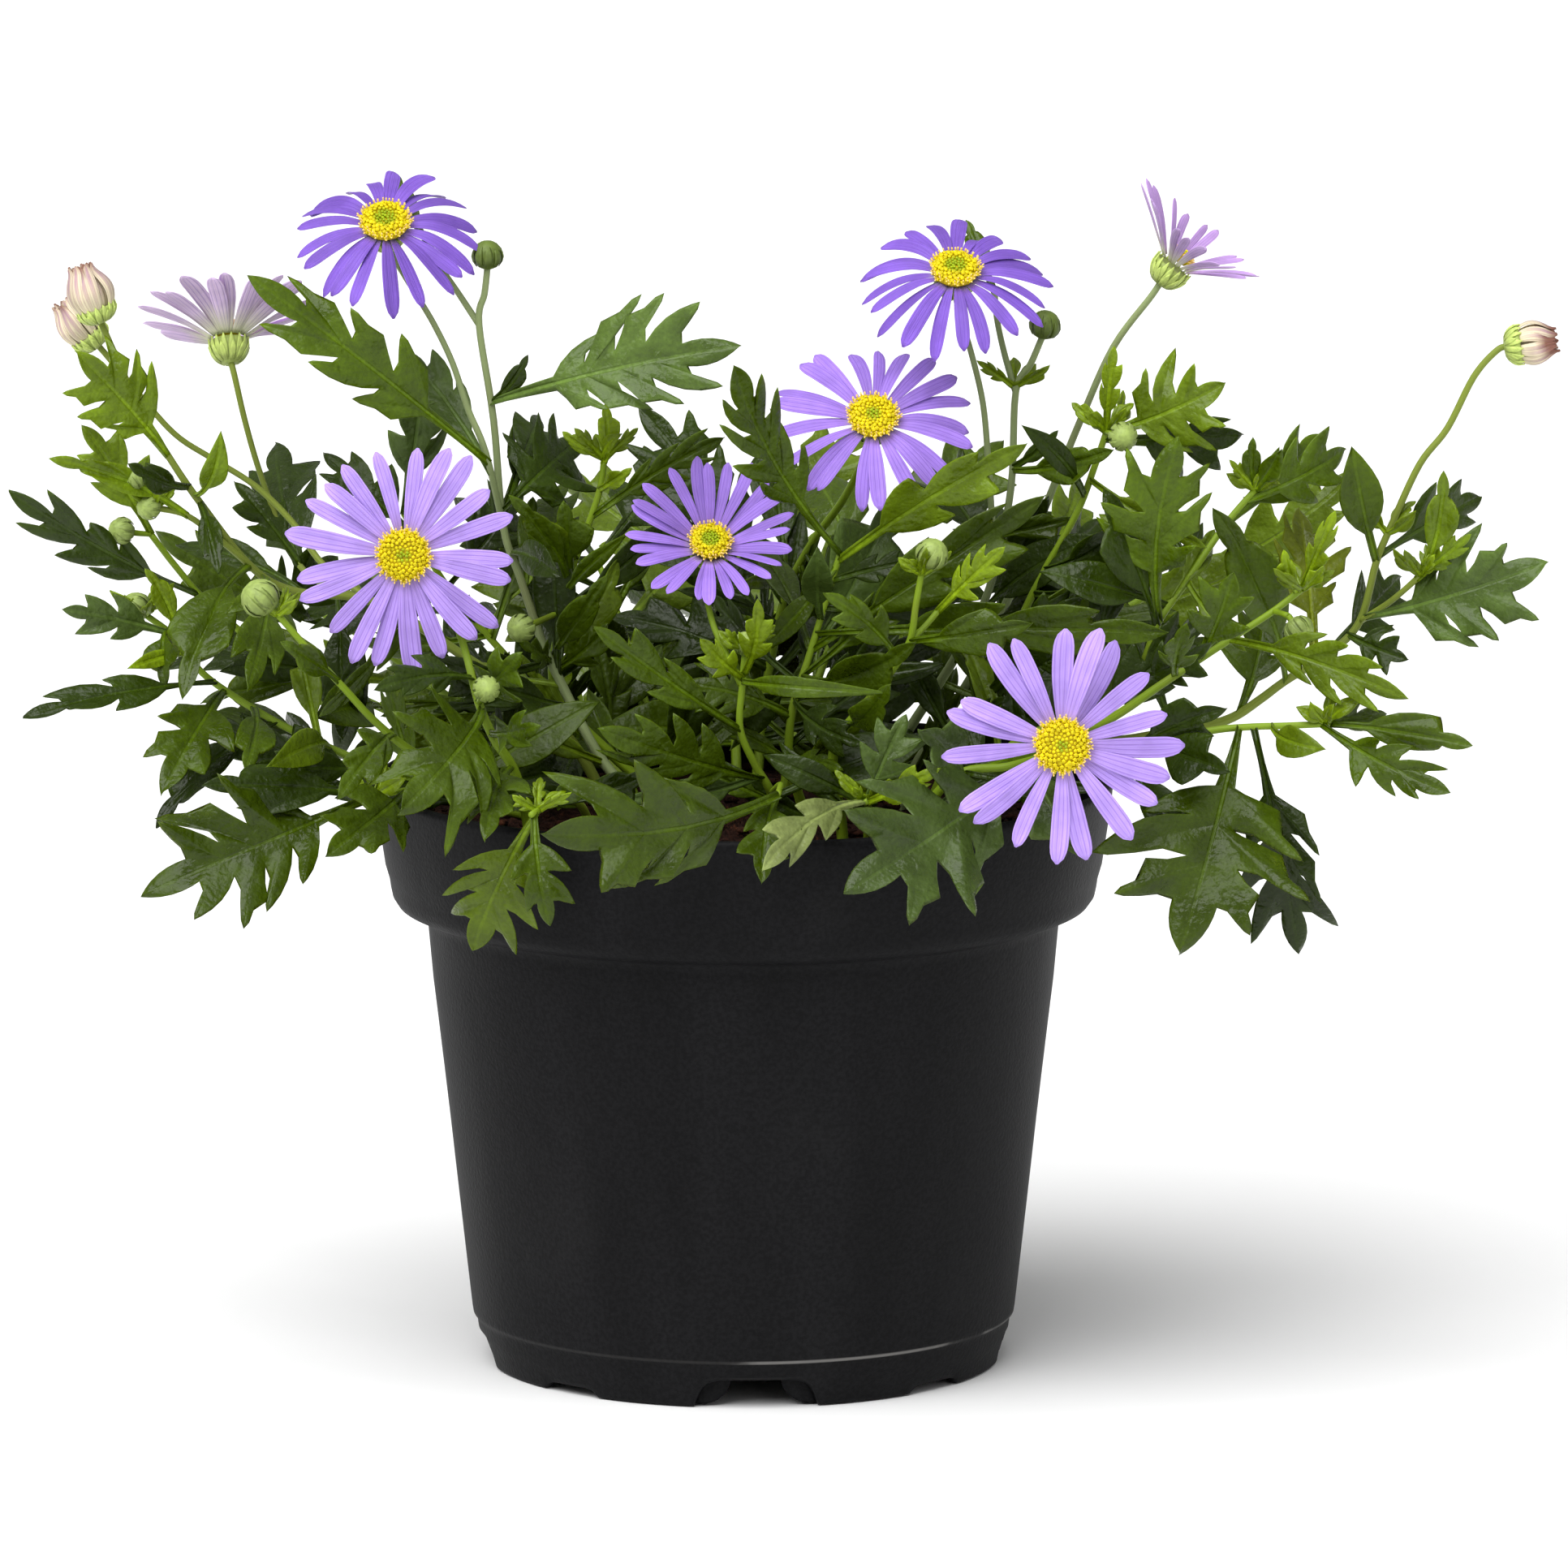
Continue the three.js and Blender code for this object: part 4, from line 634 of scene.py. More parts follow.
# Small leaf tufts at shoot ends: (across, height, depth, leaves, length in mm)
TUFTS = (
    (84, 144.5, -15, 6, 7), (91, 127.5, -26, 6, 8), (96.5, 105, -42, 6, 8), (113, 131, -20, 5, 8),
    (-97, 123, -16, 6, 7), (-96, 141, -18, 5, 6), (0, 117, -33, 6, 7), (29, 130, -36, 5, 7),
    (-22.5, 149, -8, 5, 8), (-60, 92.5, -34, 4, 8), (20, 92, -50, 5, 7), (60, 153, -14, 5, 8),
    (104, 136, -12, 4, 8), (-75.5, 122, -42, 4, 6), (-38, 93, -55, 4, 8), (44, 160, -6, 4, 8),
)

# Outline, as seen from the front, that the filling leaves keep inside: (across, height)
BUSH = np.array([
    (-56, 92), (-84, 92), (-92, 102), (-88, 116), (-72, 122), (-60, 118), (-50, 122), (-40, 132),
    (-34, 144), (-18, 148), (0, 144), (12, 132), (26, 132), (42, 142), (56, 146), (70, 145),
    (82, 138), (90, 126), (84, 114), (74, 106), (66, 98), (56, 92),
], dtype=float)


def linear(red, green, blue):
    """Colour on a screen, 0 to 255, to the linear colour that a shader takes."""
    return tuple((value / 255) ** 2.2 for value in (red, green, blue))


def size_property(name, description, millimetres):
    """A length that the sidebar shows, given in millimetres."""
    return FloatProperty(name=name, description=description, default=millimetres * MM, unit="LENGTH", min=0.0)


def colour_property(name, description, red, green, blue):
    """A colour that the sidebar shows, given as it looks on a screen."""
    return FloatVectorProperty(name=name, description=description, default=linear(red, green, blue),
                               subtype="COLOR", size=3, min=0.0, max=1.0)


class DaisySizes(bpy.types.PropertyGroup):
    """Sizes that a user would change"""
    leaf_thickness: size_property("Leaf thickness", "Thickness of a leaf beside its midrib", 0.45)
    stem_radius: size_property("Stem radius", "Radius of a main stem at the peat", 1.1)
    stalk_radius: size_property("Stalk radius", "Radius of a flower stalk", 0.52)
    petal_width: size_property("Petal width", "Widest part of a petal", 3.1)
    cup_radius: size_property("Cup radius", "Radius of the green cup under a bloom", 3.3)
    disc_radius: size_property("Disc radius", "Radius of the yellow disc of an open bloom", 4.6)
    filling_leaves: IntProperty(
        name="Filling leaves", description="Leaves added inside the bush", default=220, min=0, max=600)
    crumbs: IntProperty(
        name="Crumbs", description="Loose crumbs on the peat", default=420, min=0, max=2000)


class DaisyColours(bpy.types.PropertyGroup):
    """Colours that a user would change"""
    leaf_dark: colour_property("Old leaf", "Dark leaves low in the bush", 44, 58, 8)
    leaf_middle: colour_property("Leaf", "Most leaves", 66, 84, 8)
    leaf_light: colour_property("Light leaf", "Leaves that face the light", 90, 110, 18)
    leaf_grey: colour_property("Grey-green leaf", "Leaves with a grey bloom", 72, 90, 40)
    leaf_young: colour_property("Young leaf", "Leaves at the shoot tips", 110, 132, 20)
    leaf_olive: colour_property("Olive leaf", "Leaves seen from below", 92, 102, 22)
    leaf_pale: colour_property("Pale underside", "Leaf turned over", 118, 130, 74)
    stem_olive: colour_property("Stem", "Most stems", 120, 146, 34)
    stem_pale: colour_property("Pale stem", "Grey-green stems", 132, 146, 98)
    stem_brown: colour_property("Brown stem", "Older stems", 118, 132, 52)
    petal: colour_property("Petal", "Open blooms", 178, 148, 232)
    petal_middle: colour_property("Middle petal", "Blooms in half shade", 156, 122, 216)
    petal_deep: colour_property("Deep petal", "Blooms that have just opened", 126, 92, 194)
    petal_pale: colour_property("Pale petal", "Petals seen from behind", 214, 186, 226)
    petal_side: colour_property("Side petal", "Petals seen edge on", 190, 154, 214)
    closed_petal: colour_property("Closed petal", "Outside of the closed blooms", 186, 146, 164)
    closed_base: colour_property("Closed petal foot", "Pale foot of the closed petals", 226, 214, 180)
    withered: colour_property("Withered tip", "Dry petal tips", 132, 92, 76)
    floret: colour_property("Floret", "Open florets of the disc", 240, 220, 14)
    floret_bud: colour_property("Floret bud", "Closed florets in the middle", 158, 178, 26)
    style: colour_property("Style", "Pale tips round the disc", 242, 206, 116)
    cup: colour_property("Flower cup", "Cup under each bloom", 168, 186, 98)
    bud: colour_property("Bud", "Small closed buds", 134, 152, 80)
    bud_high: colour_property("High bud", "Buds that stand above the leaves", 88, 104, 44)
    pot: colour_property("Pot", "Black moulded plastic", 26, 26, 27)
    peat: colour_property("Peat", "Damp peat", 52, 33, 26)


def sizes():
    """The sizes as the sidebar holds them."""
    return bpy.context.scene.daisy_sizes


def colour(name):
    """The named colour as the sidebar holds it."""
    return np.array(getattr(bpy.context.scene.daisy_colours, name))


# Vectors and paths

def unit(vectors):
    """Each vector divided by its own length."""
    return vectors / np.maximum(np.linalg.norm(vectors, axis=-1, keepdims=True), 1e-12)


def sight(place):
    """A seen place moved along its line of sight to its depth: it scales away from the eye with distance."""
    across, height, depth = (np.asarray(place, float)[..., i] for i in range(3))
    far = 1 - depth / EYE[1]
    x = EYE[0] + (across - EYE[0]) * far
    z = EYE[2] + (height - EYE[2]) * far
    return np.stack([x, depth, z], -1)


def seen(point):
    """Across and height at which a point shows in the plane of the pot's axis."""
    near = -EYE[1] / (point[..., 1] - EYE[1])
    return np.stack([EYE[0] + (point[..., 0] - EYE[0]) * near, EYE[2] + (point[..., 2] - EYE[2]) * near], -1)


def random_from(seed):
    """Repeatable source of numbers from 0 to 1: each state is the last one times a factor plus a step."""
    state = seed
    while True:
        state = (state * 1664525 + 1013904223) % 4294967296
        yield state / 4294967296


def across_axis(axis):
    """Two unit directions that make a right-handed set with the axis."""
    helper = np.array([1.0, 0.0, 0.0]) if abs(axis[2]) > 0.9 else UP
    right = unit(np.cross(helper, axis))
    return right, np.cross(axis, right)


def spokes(axis, turn):
    """Unit directions square to the axis, one for each turn about it."""
    right, over = across_axis(axis)
    return np.cos(turn)[:, None] * right + np.sin(turn)[:, None] * over


def quarter_left(rise):
    """A flat direction turned a quarter to the left."""
    return np.array([-rise[1], rise[0]])


def bent(t, start, hold, end):
    """Curve from start to end drawn towards hold, with shares (1 - t) squared, 2 t (1 - t) and t squared."""
    return (1 - t) ** 2 * start + 2 * t * (1 - t) * hold + t ** 2 * end


def smooth_path(places, per_span):
    """Curve through the places: each span is a cubic blend of the place before it, its two ends and the
    place after it."""
    places = np.asarray(places, float)
    padded = np.vstack([2 * places[0] - places[1], places, 2 * places[-1] - places[-2]])
    t = np.linspace(0, 1, per_span, endpoint=False)[None, :, None]
    a, b, c, d = (padded[i:len(padded) - 3 + i, None, :] for i in range(4))
    bow = 2 * a - 5 * b + 4 * c - d
    twist = 3 * b - a - 3 * c + d
    spans = 0.5 * (2 * b + (c - a) * t + bow * t ** 2 + twist * t ** 3)
    return np.vstack([spans.reshape(-1, 3), places[-1]])


def path_frame(path):
    """Side and over directions of a path: side is square to the world axis that the path follows least."""
    along = unit(np.gradient(path, axis=0))
    helper = np.eye(3)[np.argmin(np.abs(along).max(0))]
    side = unit(np.cross(helper, along))
    return side, np.cross(along, side)


class Skin:
    """Gathers closed shapes into one mesh, each point with its tint and its place on the blade."""

    def __init__(self):
        self.points, self.faces, self.tints, self.blades, self.finishes = [], [], [], [], []
        self.count = 0
        self.materials = []

    def finish_index(self, material):
        """Place of the material among this mesh's materials."""
        if material not in self.materials:
            self.materials.append(material)
        return self.materials.index(material)

    def keep(self, points, faces, tints, blades, material):
        """Stores one batch: faces hold four point numbers, the last two alike in a triangle."""
        corners = points[faces]
        middle = points.mean(0)
        a, b, c, d = (corners[:, i] - middle for i in range(4))
        volume = np.einsum("ij,ij->", a, np.cross(b, c)) + np.einsum("ij,ij->", a, np.cross(c, d))
        if volume < 0:
            flipped = faces[:, [1, 0, 3, 2]]
            faces = np.where((faces[:, 2] == faces[:, 3])[:, None], flipped, faces[:, ::-1])
        self.points.append(points)
        self.faces.append(faces + self.count)
        self.tints.append(tints)
        self.blades.append(blades)
        self.finishes.append(np.full(len(faces), self.finish_index(material)))
        self.count += len(points)

    def tubes(self, grids, material, tint, blade=(0.5, 0.5, 0.0)):
        """Closed tubes: grids is items x rows x columns x 3. Columns run round, and a middle point shuts each
        end."""
        grids = np.asarray(grids, float)
        grids = grids[None] if grids.ndim == 3 else grids
        items, rows, cols = grids.shape[:3]

        def with_ends(values):
            """The values of each tube, then their means over its first and its last row."""
            values = np.broadcast_to(np.asarray(values, float), (items, rows, cols, 3))
            flat = values.reshape(items, rows * cols, 3)
            return np.concatenate([flat, values[:, :1].mean(2), values[:, -1:].mean(2)], 1).reshape(-1, 3)

        ring = np.arange(rows * cols).reshape(rows, cols)
        ring = np.hstack([ring, ring[:, :1]])
        wall = np.stack([ring[:-1, :-1], ring[:-1, 1:], ring[1:, 1:], ring[1:, :-1]], -1).reshape(-1, 4)
        first = np.full(cols, rows * cols)
        start = np.stack([ring[0, 1:], ring[0, :-1], first, first], -1)
        end = np.stack([ring[-1, :-1], ring[-1, 1:], first + 1, first + 1], -1)
        faces = np.vstack([wall, start, end])
        offsets = (np.arange(items) * (rows * cols + 2))[:, None, None]
        faces = (faces[None] + offsets).reshape(-1, 4)
        self.keep(with_ends(grids), faces, with_ends(tint), with_ends(blade), material)

    def hoop(self, grid, material, tint):
        """Closed ring: rows run round the ring and columns round its section, both joined at their ends."""
        rows, cols = grid.shape[:2]
        index = np.arange(rows * cols).reshape(rows, cols)
        right = np.roll(index, -1, 1)
        down = np.roll(index, -1, 0)
        both = np.roll(down, -1, 1)
        faces = np.stack([index, right, both, down], -1).reshape(-1, 4)
        tints = np.broadcast_to(np.asarray(tint, float), grid.shape).reshape(-1, 3)
        self.keep(grid.reshape(-1, 3), faces, tints, np.zeros((rows * cols, 3)), material)

    def piece(self, name, nodes, slot):
        """Makes the mesh object, rides it on the frame and lets it stand for its nodes."""
        if not self.points:
            raise RuntimeError(f"{name} has no surface")
        points = np.vstack(self.points) * MM + POT_AXIS
        faces = np.vstack(self.faces)
        tints = np.vstack(self.tints)
        blades = np.vstack(self.blades)
        kept = np.ones(faces.shape, bool)
        kept[faces[:, 2] == faces[:, 3], 3] = False
        loops = faces[kept]
        totals = kept.sum(1)
        mesh = bpy.data.meshes.new(name)
        mesh.vertices.add(len(points))
        mesh.vertices.foreach_set("co", points.ravel())
        mesh.loops.add(len(loops))
        mesh.loops.foreach_set("vertex_index", loops)
        mesh.polygons.add(len(totals))
        mesh.polygons.foreach_set("loop_start", np.concatenate([[0], np.cumsum(totals)[:-1]]))
        mesh.polygons.foreach_set("loop_total", totals)
        mesh.polygons.foreach_set("material_index", np.concatenate(self.finishes))
        mesh.update(calc_edges=True)
        tint = mesh.attributes.new("tint", "FLOAT_COLOR", "POINT")
        tint.data.foreach_set("color", np.hstack([tints, np.ones((len(tints), 1))]).ravel())
        vein = mesh.attributes.new("vein", "FLOAT", "POINT")
        vein.data.foreach_set("value", np.ascontiguousarray(blades[:, 2]))
        layer = mesh.uv_layers.new(name="blade")
        layer.data.foreach_set("uv", np.ascontiguousarray(blades[loops, :2]).ravel())
        mesh.shade_smooth()
        mesh.validate()
        for material in self.materials:
            mesh.materials.append(material)
        made = bpy.data.objects.new(name, mesh)
        bpy.context.scene.collection.objects.link(made)
        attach(made, "root")
        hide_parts(*nodes)
        return made


# Shapes

def stem(skin, places, radii, tint, material, sides=8):
    """Round stem along a smooth path: its radius goes from the first to the second with the square root of
    the way, and four low ridges wind round it."""
    path = smooth_path(places, 6)
    side, over = path_frame(path)
    at = np.linspace(0, 1, len(path))[:, None]
    radius = radii[0] + (radii[1] - radii[0]) * at ** 0.5
    turn = np.linspace(0, 2 * math.pi, sides, endpoint=False)[None, :]
    ridged = radius * (1 + 0.06 * np.cos(4 * turn + 5 * at))
    grid = path[:, None] + (ridged * np.cos(turn))[..., None] * side[:, None]
    grid = grid + (ridged * np.sin(turn))[..., None] * over[:, None]
    shade = 1 + 0.12 * np.sin(9 * at)
    around, along = np.broadcast_arrays(turn / (2 * math.pi), at)
    skin.tubes(grid, material, tint * shade[..., None], np.stack([around, along, 0 * along], -1))
    return path


def revolved(centre, axis, profile, sides, ridges=0, ridge=0.0):
    """Surface turned about an axis: each profile entry is (along, radius), and ridges swell the radius by
    1 + ridge * cos(ridges * turn)."""
    profile = np.asarray(profile, float)
    turn = np.linspace(0, 2 * math.pi, sides, endpoint=False)
    swell = 1 + ridge * np.cos(ridges * turn)
    radius = profile[:, 1, None] * swell[None]
    return centre + profile[:, 0, None, None] * axis + radius[..., None] * spokes(axis, turn)[None]


def blades(middle, side, normal, width, thick, around, cup=0.0, groove=0.0):
    """Closed blades with a lens section: point = middle + side * width * u + normal * (thick * sin a + lift),
    where u = cos a and lift = cup * width * u squared + groove * cos(3 pi u) * (1 - u squared)."""
    turn = np.linspace(0, 2 * math.pi, around, endpoint=False)
    u = np.cos(turn)
    lens = np.sin(turn)
    width = np.asarray(width, float)[..., None]
    thick = np.asarray(thick, float)[..., None]
    lift = cup * width * u ** 2 + groove * np.cos(3 * math.pi * u) * (1 - u ** 2)
    reach = (width * u)[..., None] * side[..., None, :]
    height = (thick * lens + lift)[..., None] * normal[..., None, :]
    return middle[..., None, :] + reach + height, u, lens


def blade_places(u, t):
    """Place of each point on its blade: across and along, each from 0 to 1."""
    across, along = np.broadcast_arrays(0.5 + 0.5 * u, t[:, None])
    return np.stack([across, along, 0 * along], -1)


def leaf_margin(pairs, half, length, rng):
    """Half outline of a leaf, walked from foot to tip as rows of (anchor, along, across, curl, vein). Each
    finger is two curved edges, out to its point and back to the notch, fanned from its anchor."""
    neck = 0.5 + 0.07 * half
    stalk = np.linspace(0, 1, 5)
    stalk_width = 0.6 + (neck - 0.6) * stalk ** (2 if pairs else 1)
    rows = [np.stack([stalk * NECK, stalk * NECK, stalk_width, 0 * stalk, 0 * stalk], -1)]
    if pairs == 0:
        t = np.linspace(0, 1, 9)[1:]
        along = bent(t, NECK, 0.56, 1.0)
        across = bent(t, neck, 2 * half - neck / 2, 0.0)
        return np.vstack(rows + [np.stack([along, along, across, 0 * t, 0 * t], -1)])
    span = (NOTCH_END - NECK - 0.02) / pairs
    anchor = NECK
    start = np.array([NECK * length, neck])
    for k in range(1, pairs + 1):
        swell = 0.62 + 0.38 * math.sin(math.pi * (k - 0.3) / pairs)
        reach = half * swell * (1 + 0.16 * np.clip(rng.normal(), -1.6, 1.3))
        ahead = NECK + span * (k - 0.5) + 0.16 + 0.024 * np.clip(rng.normal(), -2, 2)
        point = np.array([ahead * length, reach])
        notch = np.array([(NECK + span * k * 0.96) * length, 0.3 + half * swell * rng.uniform(0.2, 0.34)])
        curl = 0.34 * half * rng.normal()
        rise = point - start
        edge = bent(FINGER_OUT, start, start + 0.5 * rise + 0.2 * quarter_left(rise), point)
        fall = notch - point
        hold = point + 0.42 * fall + 0.1 * quarter_left(fall)
        sinus = notch + np.array([-0.1, 0.3]) * np.linalg.norm(fall)
        t, rest = FINGER_BACK, 1 - FINGER_BACK
        inner = rest ** 3 * point + 3 * rest ** 2 * t * hold + 3 * rest * t ** 2 * sinus + t ** 3 * notch
        if half > TOOTHED_FROM and rng.random() < 0.6:
            edge = edge + half * TOOTH * unit(quarter_left(rise))
        outline = np.vstack([edge, inner])
        curls = curl * np.concatenate([FINGER_OUT[:, 0] ** 2, (1 - FINGER_BACK[:, 0]) ** 1.5])
        anchors = np.full(len(outline), anchor)
        rows.append(np.stack([anchors, outline[:, 0] / length, outline[:, 1], curls, FINGER_VEIN], -1))
        anchor = notch[0] / length
        rows.append(np.array([[anchor, anchor, notch[1], 0, 0]]))
        start = notch
    tip = np.array([length, 0.0])
    rise = tip - start
    edge = bent(LEAF_END, start, start + 0.5 * rise + 0.24 * quarter_left(rise), tip)
    follow = anchor + (edge[:, 0] / length - anchor) * 0.85
    follow[-1] = 1.0
    rows.append(np.stack([follow, edge[:, 0] / length, edge[:, 1], 0 * follow, 0 * follow], -1))
    return np.vstack(rows)


def leaf(skin, foot, tip, half, pairs, roll, arch, tint, material, rng):
    """Leaf as a closed tube of bent sections: each goes from its anchor on the midrib to the margin and back.
    Height = arch along the rib + fold * distance from it + curl of the finger + the lens of its thickness."""
    axis = tip - foot
    length = np.linalg.norm(axis)
    axis = axis / length
    facing = unit(EYE - foot)
    normal = facing - facing.dot(axis) * axis
    if np.linalg.norm(normal) < 0.2:
        normal = UP - UP.dot(axis) * axis
    normal = unit(normal)
    beside = np.cross(axis, normal)
    turn = math.radians(roll)
    normal, across = (normal * math.cos(turn) + beside * math.sin(turn),
                      beside * math.cos(turn) - normal * math.sin(turn))
    sides = [leaf_margin(pairs, half, length, rng) for _ in range(2)]
    edge = np.where((LEAF_SIDE > 0)[None, :, None], sides[0][:, None], sides[1][:, None])
    anchor = (sides[0][:, 0] + sides[1][:, 0])[:, None] / 2
    out = LEAF_OUT[None]
    along = anchor + (edge[..., 1] - anchor) * out
    offset = edge[..., 2] * out * LEAF_SIDE[None]
    thickness = sizes().leaf_thickness / MM
    thick = (thickness + 0.5 * np.clip(1 - along / NECK, 0, 1)) / 2
    thick = np.minimum(thick, 0.25 + 0.3 * edge[..., 2]) * np.sqrt(1 - out ** 2)
    groove = np.where(LEAF_OUT == 0, 0.14, 0.0)[None] * np.clip(4 * (1 - along), 0, 1)
    wave = 0.09 * half * np.sin(11 * along + 6 * rng.random() + LEAF_SIDE[None]) * out ** 2
    height = 4 * along * (1 - along) * arch * length + FOLD * np.abs(offset) * (1 - 0.35 * out)
    height = height + edge[..., 3] * out ** 2 + wave + LEAF_FACE[None] * thick - groove
    bow = 4 * along * (1 - along) * 0.035 * length * np.clip(rng.normal(), -1.8, 1.8)
    grid = (foot + (along * length)[..., None] * axis + (offset + bow)[..., None] * across
            + height[..., None] * normal)
    under = (LEAF_FACE < 0)[None, :, None]
    shade = np.where(under, tint * 0.9 + 0.05 * tint.mean(), tint)
    cloud = 1 + 0.1 * np.sin(5 * along + 2 * rng.random())
    # Pale margin on each leaf: a painted rim highlight
    painted_rim_highlight = 1 + 0.35 * out ** 10
    shade = shade * (cloud * painted_rim_highlight)[..., None]
    blade = np.stack([0.5 + offset / 40, along, edge[..., 4] * (0.3 + 0.7 * out) * (out > 0)], -1)
    skin.tubes(grid, material, shade, blade)


def bud(skin, centre, axis, radius, tint, material, rng):
    """Small bud: an egg turned about its axis with shallow ridges, under a ring of pointed scales."""
    profile = [(-0.95, 0.3), (-0.85, 0.55), (-0.5, 0.88), (0, 1.0), (0.45, 0.9), (0.8, 0.6), (0.95, 0.3)]
    profile = np.array(profile) * radius
    grid = revolved(centre, axis, profile, 16, 8, 0.05)
    pale = np.linspace(0.85, 1.35, len(profile))[:, None, None]
    skin.tubes(grid, material, tint * pale)
    ring = spokes(axis, np.linspace(0, 2 * math.pi, 9, endpoint=False) + rng.random())
    t = np.linspace(0, 1, 6)
    bulge = np.sin(0.25 * math.pi + 0.62 * math.pi * t) * 1.06 * radius
    height = (-0.75 + 1.65 * t) * radius
    middle = centre + height[None, :, None] * axis + bulge[None, :, None] * ring[:, None]
    side = unit(np.cross(axis, ring))[:, None]
    width = radius * 0.3 * np.sin(math.pi * (0.18 + 0.8 * t))
    grids, _, _ = blades(middle, side, ring[:, None], width, 0.1, 6)
    skin.tubes(grids, material, tint * np.linspace(0.8, 1.2, 6)[None, :, None, None])


def flower_cup(skin, centre, axis, height, tint, material, rng):
    """Cup under a bloom: a bowl turned about the axis, under two rings of narrow pointed bracts."""
    radius = sizes().cup_radius / MM
    bowl = [(-1.0, 0.2), (-0.96, 0.42), (-0.8, 0.66), (-0.5, 0.86), (-0.2, 0.96), (0.02, 0.98), (-0.02, 0.8)]
    profile = np.array([(along * height, out * radius) for along, out in bowl])
    grid = revolved(centre, axis, profile, 32, 16, 0.03)
    skin.tubes(grid, material, tint * np.linspace(0.95, 0.8, len(profile))[:, None, None])
    t = np.linspace(0, 1, 7)
    paler = np.array([0.8, 0.95, 1.05, 1.15, 1.25, 1.3, 1.3])[None, :, None, None]
    for count, low, high, out in BRACT_RINGS:
        ring = spokes(axis, 2 * math.pi * (np.arange(count) + 0.3 * rng.random(count)) / count)
        height_at = (low + (high - low) * t) * height
        reach = np.interp(height_at, profile[:5, 0], profile[:5, 1]) * out
        middle = centre + height_at[None, :, None] * axis + reach[None, :, None] * ring[:, None]
        side = unit(np.cross(axis, ring))[:, None]
        width = 0.5 * np.sin(math.pi * (0.2 + 0.78 * t)) ** 0.8
        grids, u, _ = blades(middle, side, ring[:, None], width, 0.12, 8)
        ridge = (1 + 0.12 * (np.abs(u) > 0.6))[None, None, :, None]
        skin.tubes(grids, material, tint * (paler * ridge))


def petals(skin, centre, axis, count, radius, lift_degrees, droop, slim, tint, material):
    """Ring of petals: each runs out from the hub, and its height above the hub plane is
    rise + sin(lift) * run - droop * (run share) squared. Its width swells to a rounded tip."""
    source = random_from(count * 131 + round(radius * 10))
    pairs = np.array([(next(source), next(source)) for _ in range(count)])
    angle = 2 * math.pi * (np.arange(count) + 0.55 * (pairs[:, 0] - 0.5)) / count
    reach = radius * (0.88 + 0.14 * pairs[:, 1])
    rise = np.where(np.arange(count) % 2 == 0, 0.5, -0.1)
    lift = math.radians(lift_degrees)
    rng = np.random.default_rng(count * 7 + round(radius * 10))
    t = np.linspace(0, 1, 17) ** 0.9
    out = spokes(axis, angle)
    side = np.cross(axis, out)
    sway = rng.normal(0, 0.045, count)[:, None] * (t ** 2)[None]
    run = (reach - HUB_RADIUS + HUB_INSET)[:, None] * t[None]
    bend = 1 + 0.28 * rng.normal(0, 1, count)[:, None]
    climb = HUB_HEIGHT + rise[:, None] * np.minimum(1, 3 * t) + math.sin(lift) * run
    climb = climb - droop * t ** 2 * bend + 0.35 * np.sin(math.pi * t) * bend
    away = HUB_RADIUS - HUB_INSET + math.cos(lift) * run
    middle = centre + climb[..., None] * axis + away[..., None] * out[:, None]
    middle = middle + (sway * run)[..., None] * side[:, None]
    along = unit(np.gradient(middle, axis=1))
    twist = rng.normal(0, 0.24, count)[:, None, None]
    flat = side[:, None]
    upright = unit(np.cross(along, flat))
    upright = upright * np.sign(upright @ axis)[..., None]
    flat, upright = flat + twist * upright, upright - twist * flat
    most = slim * np.minimum(sizes().petal_width / MM, 2 * math.pi * reach * 0.52 / count) / 2
    shape = np.where(t < 0.66, 0.4 + 0.6 * np.sin(0.5 * math.pi * t / 0.66) ** 1.15, 1.0)
    shape = shape * np.sqrt(np.clip(1 - (np.clip(t - 0.78, 0, 1) / 0.222) ** 2, 0, 1))
    width = most[:, None] * shape[None] * (1 + 0.06 * rng.normal(0, 1, count)[:, None])
    grids, u, lens = blades(middle, flat, upright, width, 0.03 + 0.14 * shape, 18, 0.12, 0.06)
    tone = 1 + 0.07 * rng.normal(0, 1, count)[:, None, None, None]
    base = np.clip(1 - t / 0.16, 0, 1)[None, :, None, None]
    shade = tint * tone * (1 + 0.06 * t - 0.12 * np.sin(math.pi * t))[None, :, None, None]
    shade = shade * (1 - 0.5 * base) + 0.5 * base * PETAL_FOOT
    back = (lens < -0.2)[None, None, :, None]
    foot = 0.9 * np.clip(1 - t / 0.5, 0, 1)[None, :, None, None]
    behind = 0.75 * shade + 0.25 * PETAL_BACK
    behind = behind * (1 - foot) + foot * PETAL_BACK_FOOT
    skin.tubes(grids, material, np.where(back, behind, shade), blade_places(u, t))


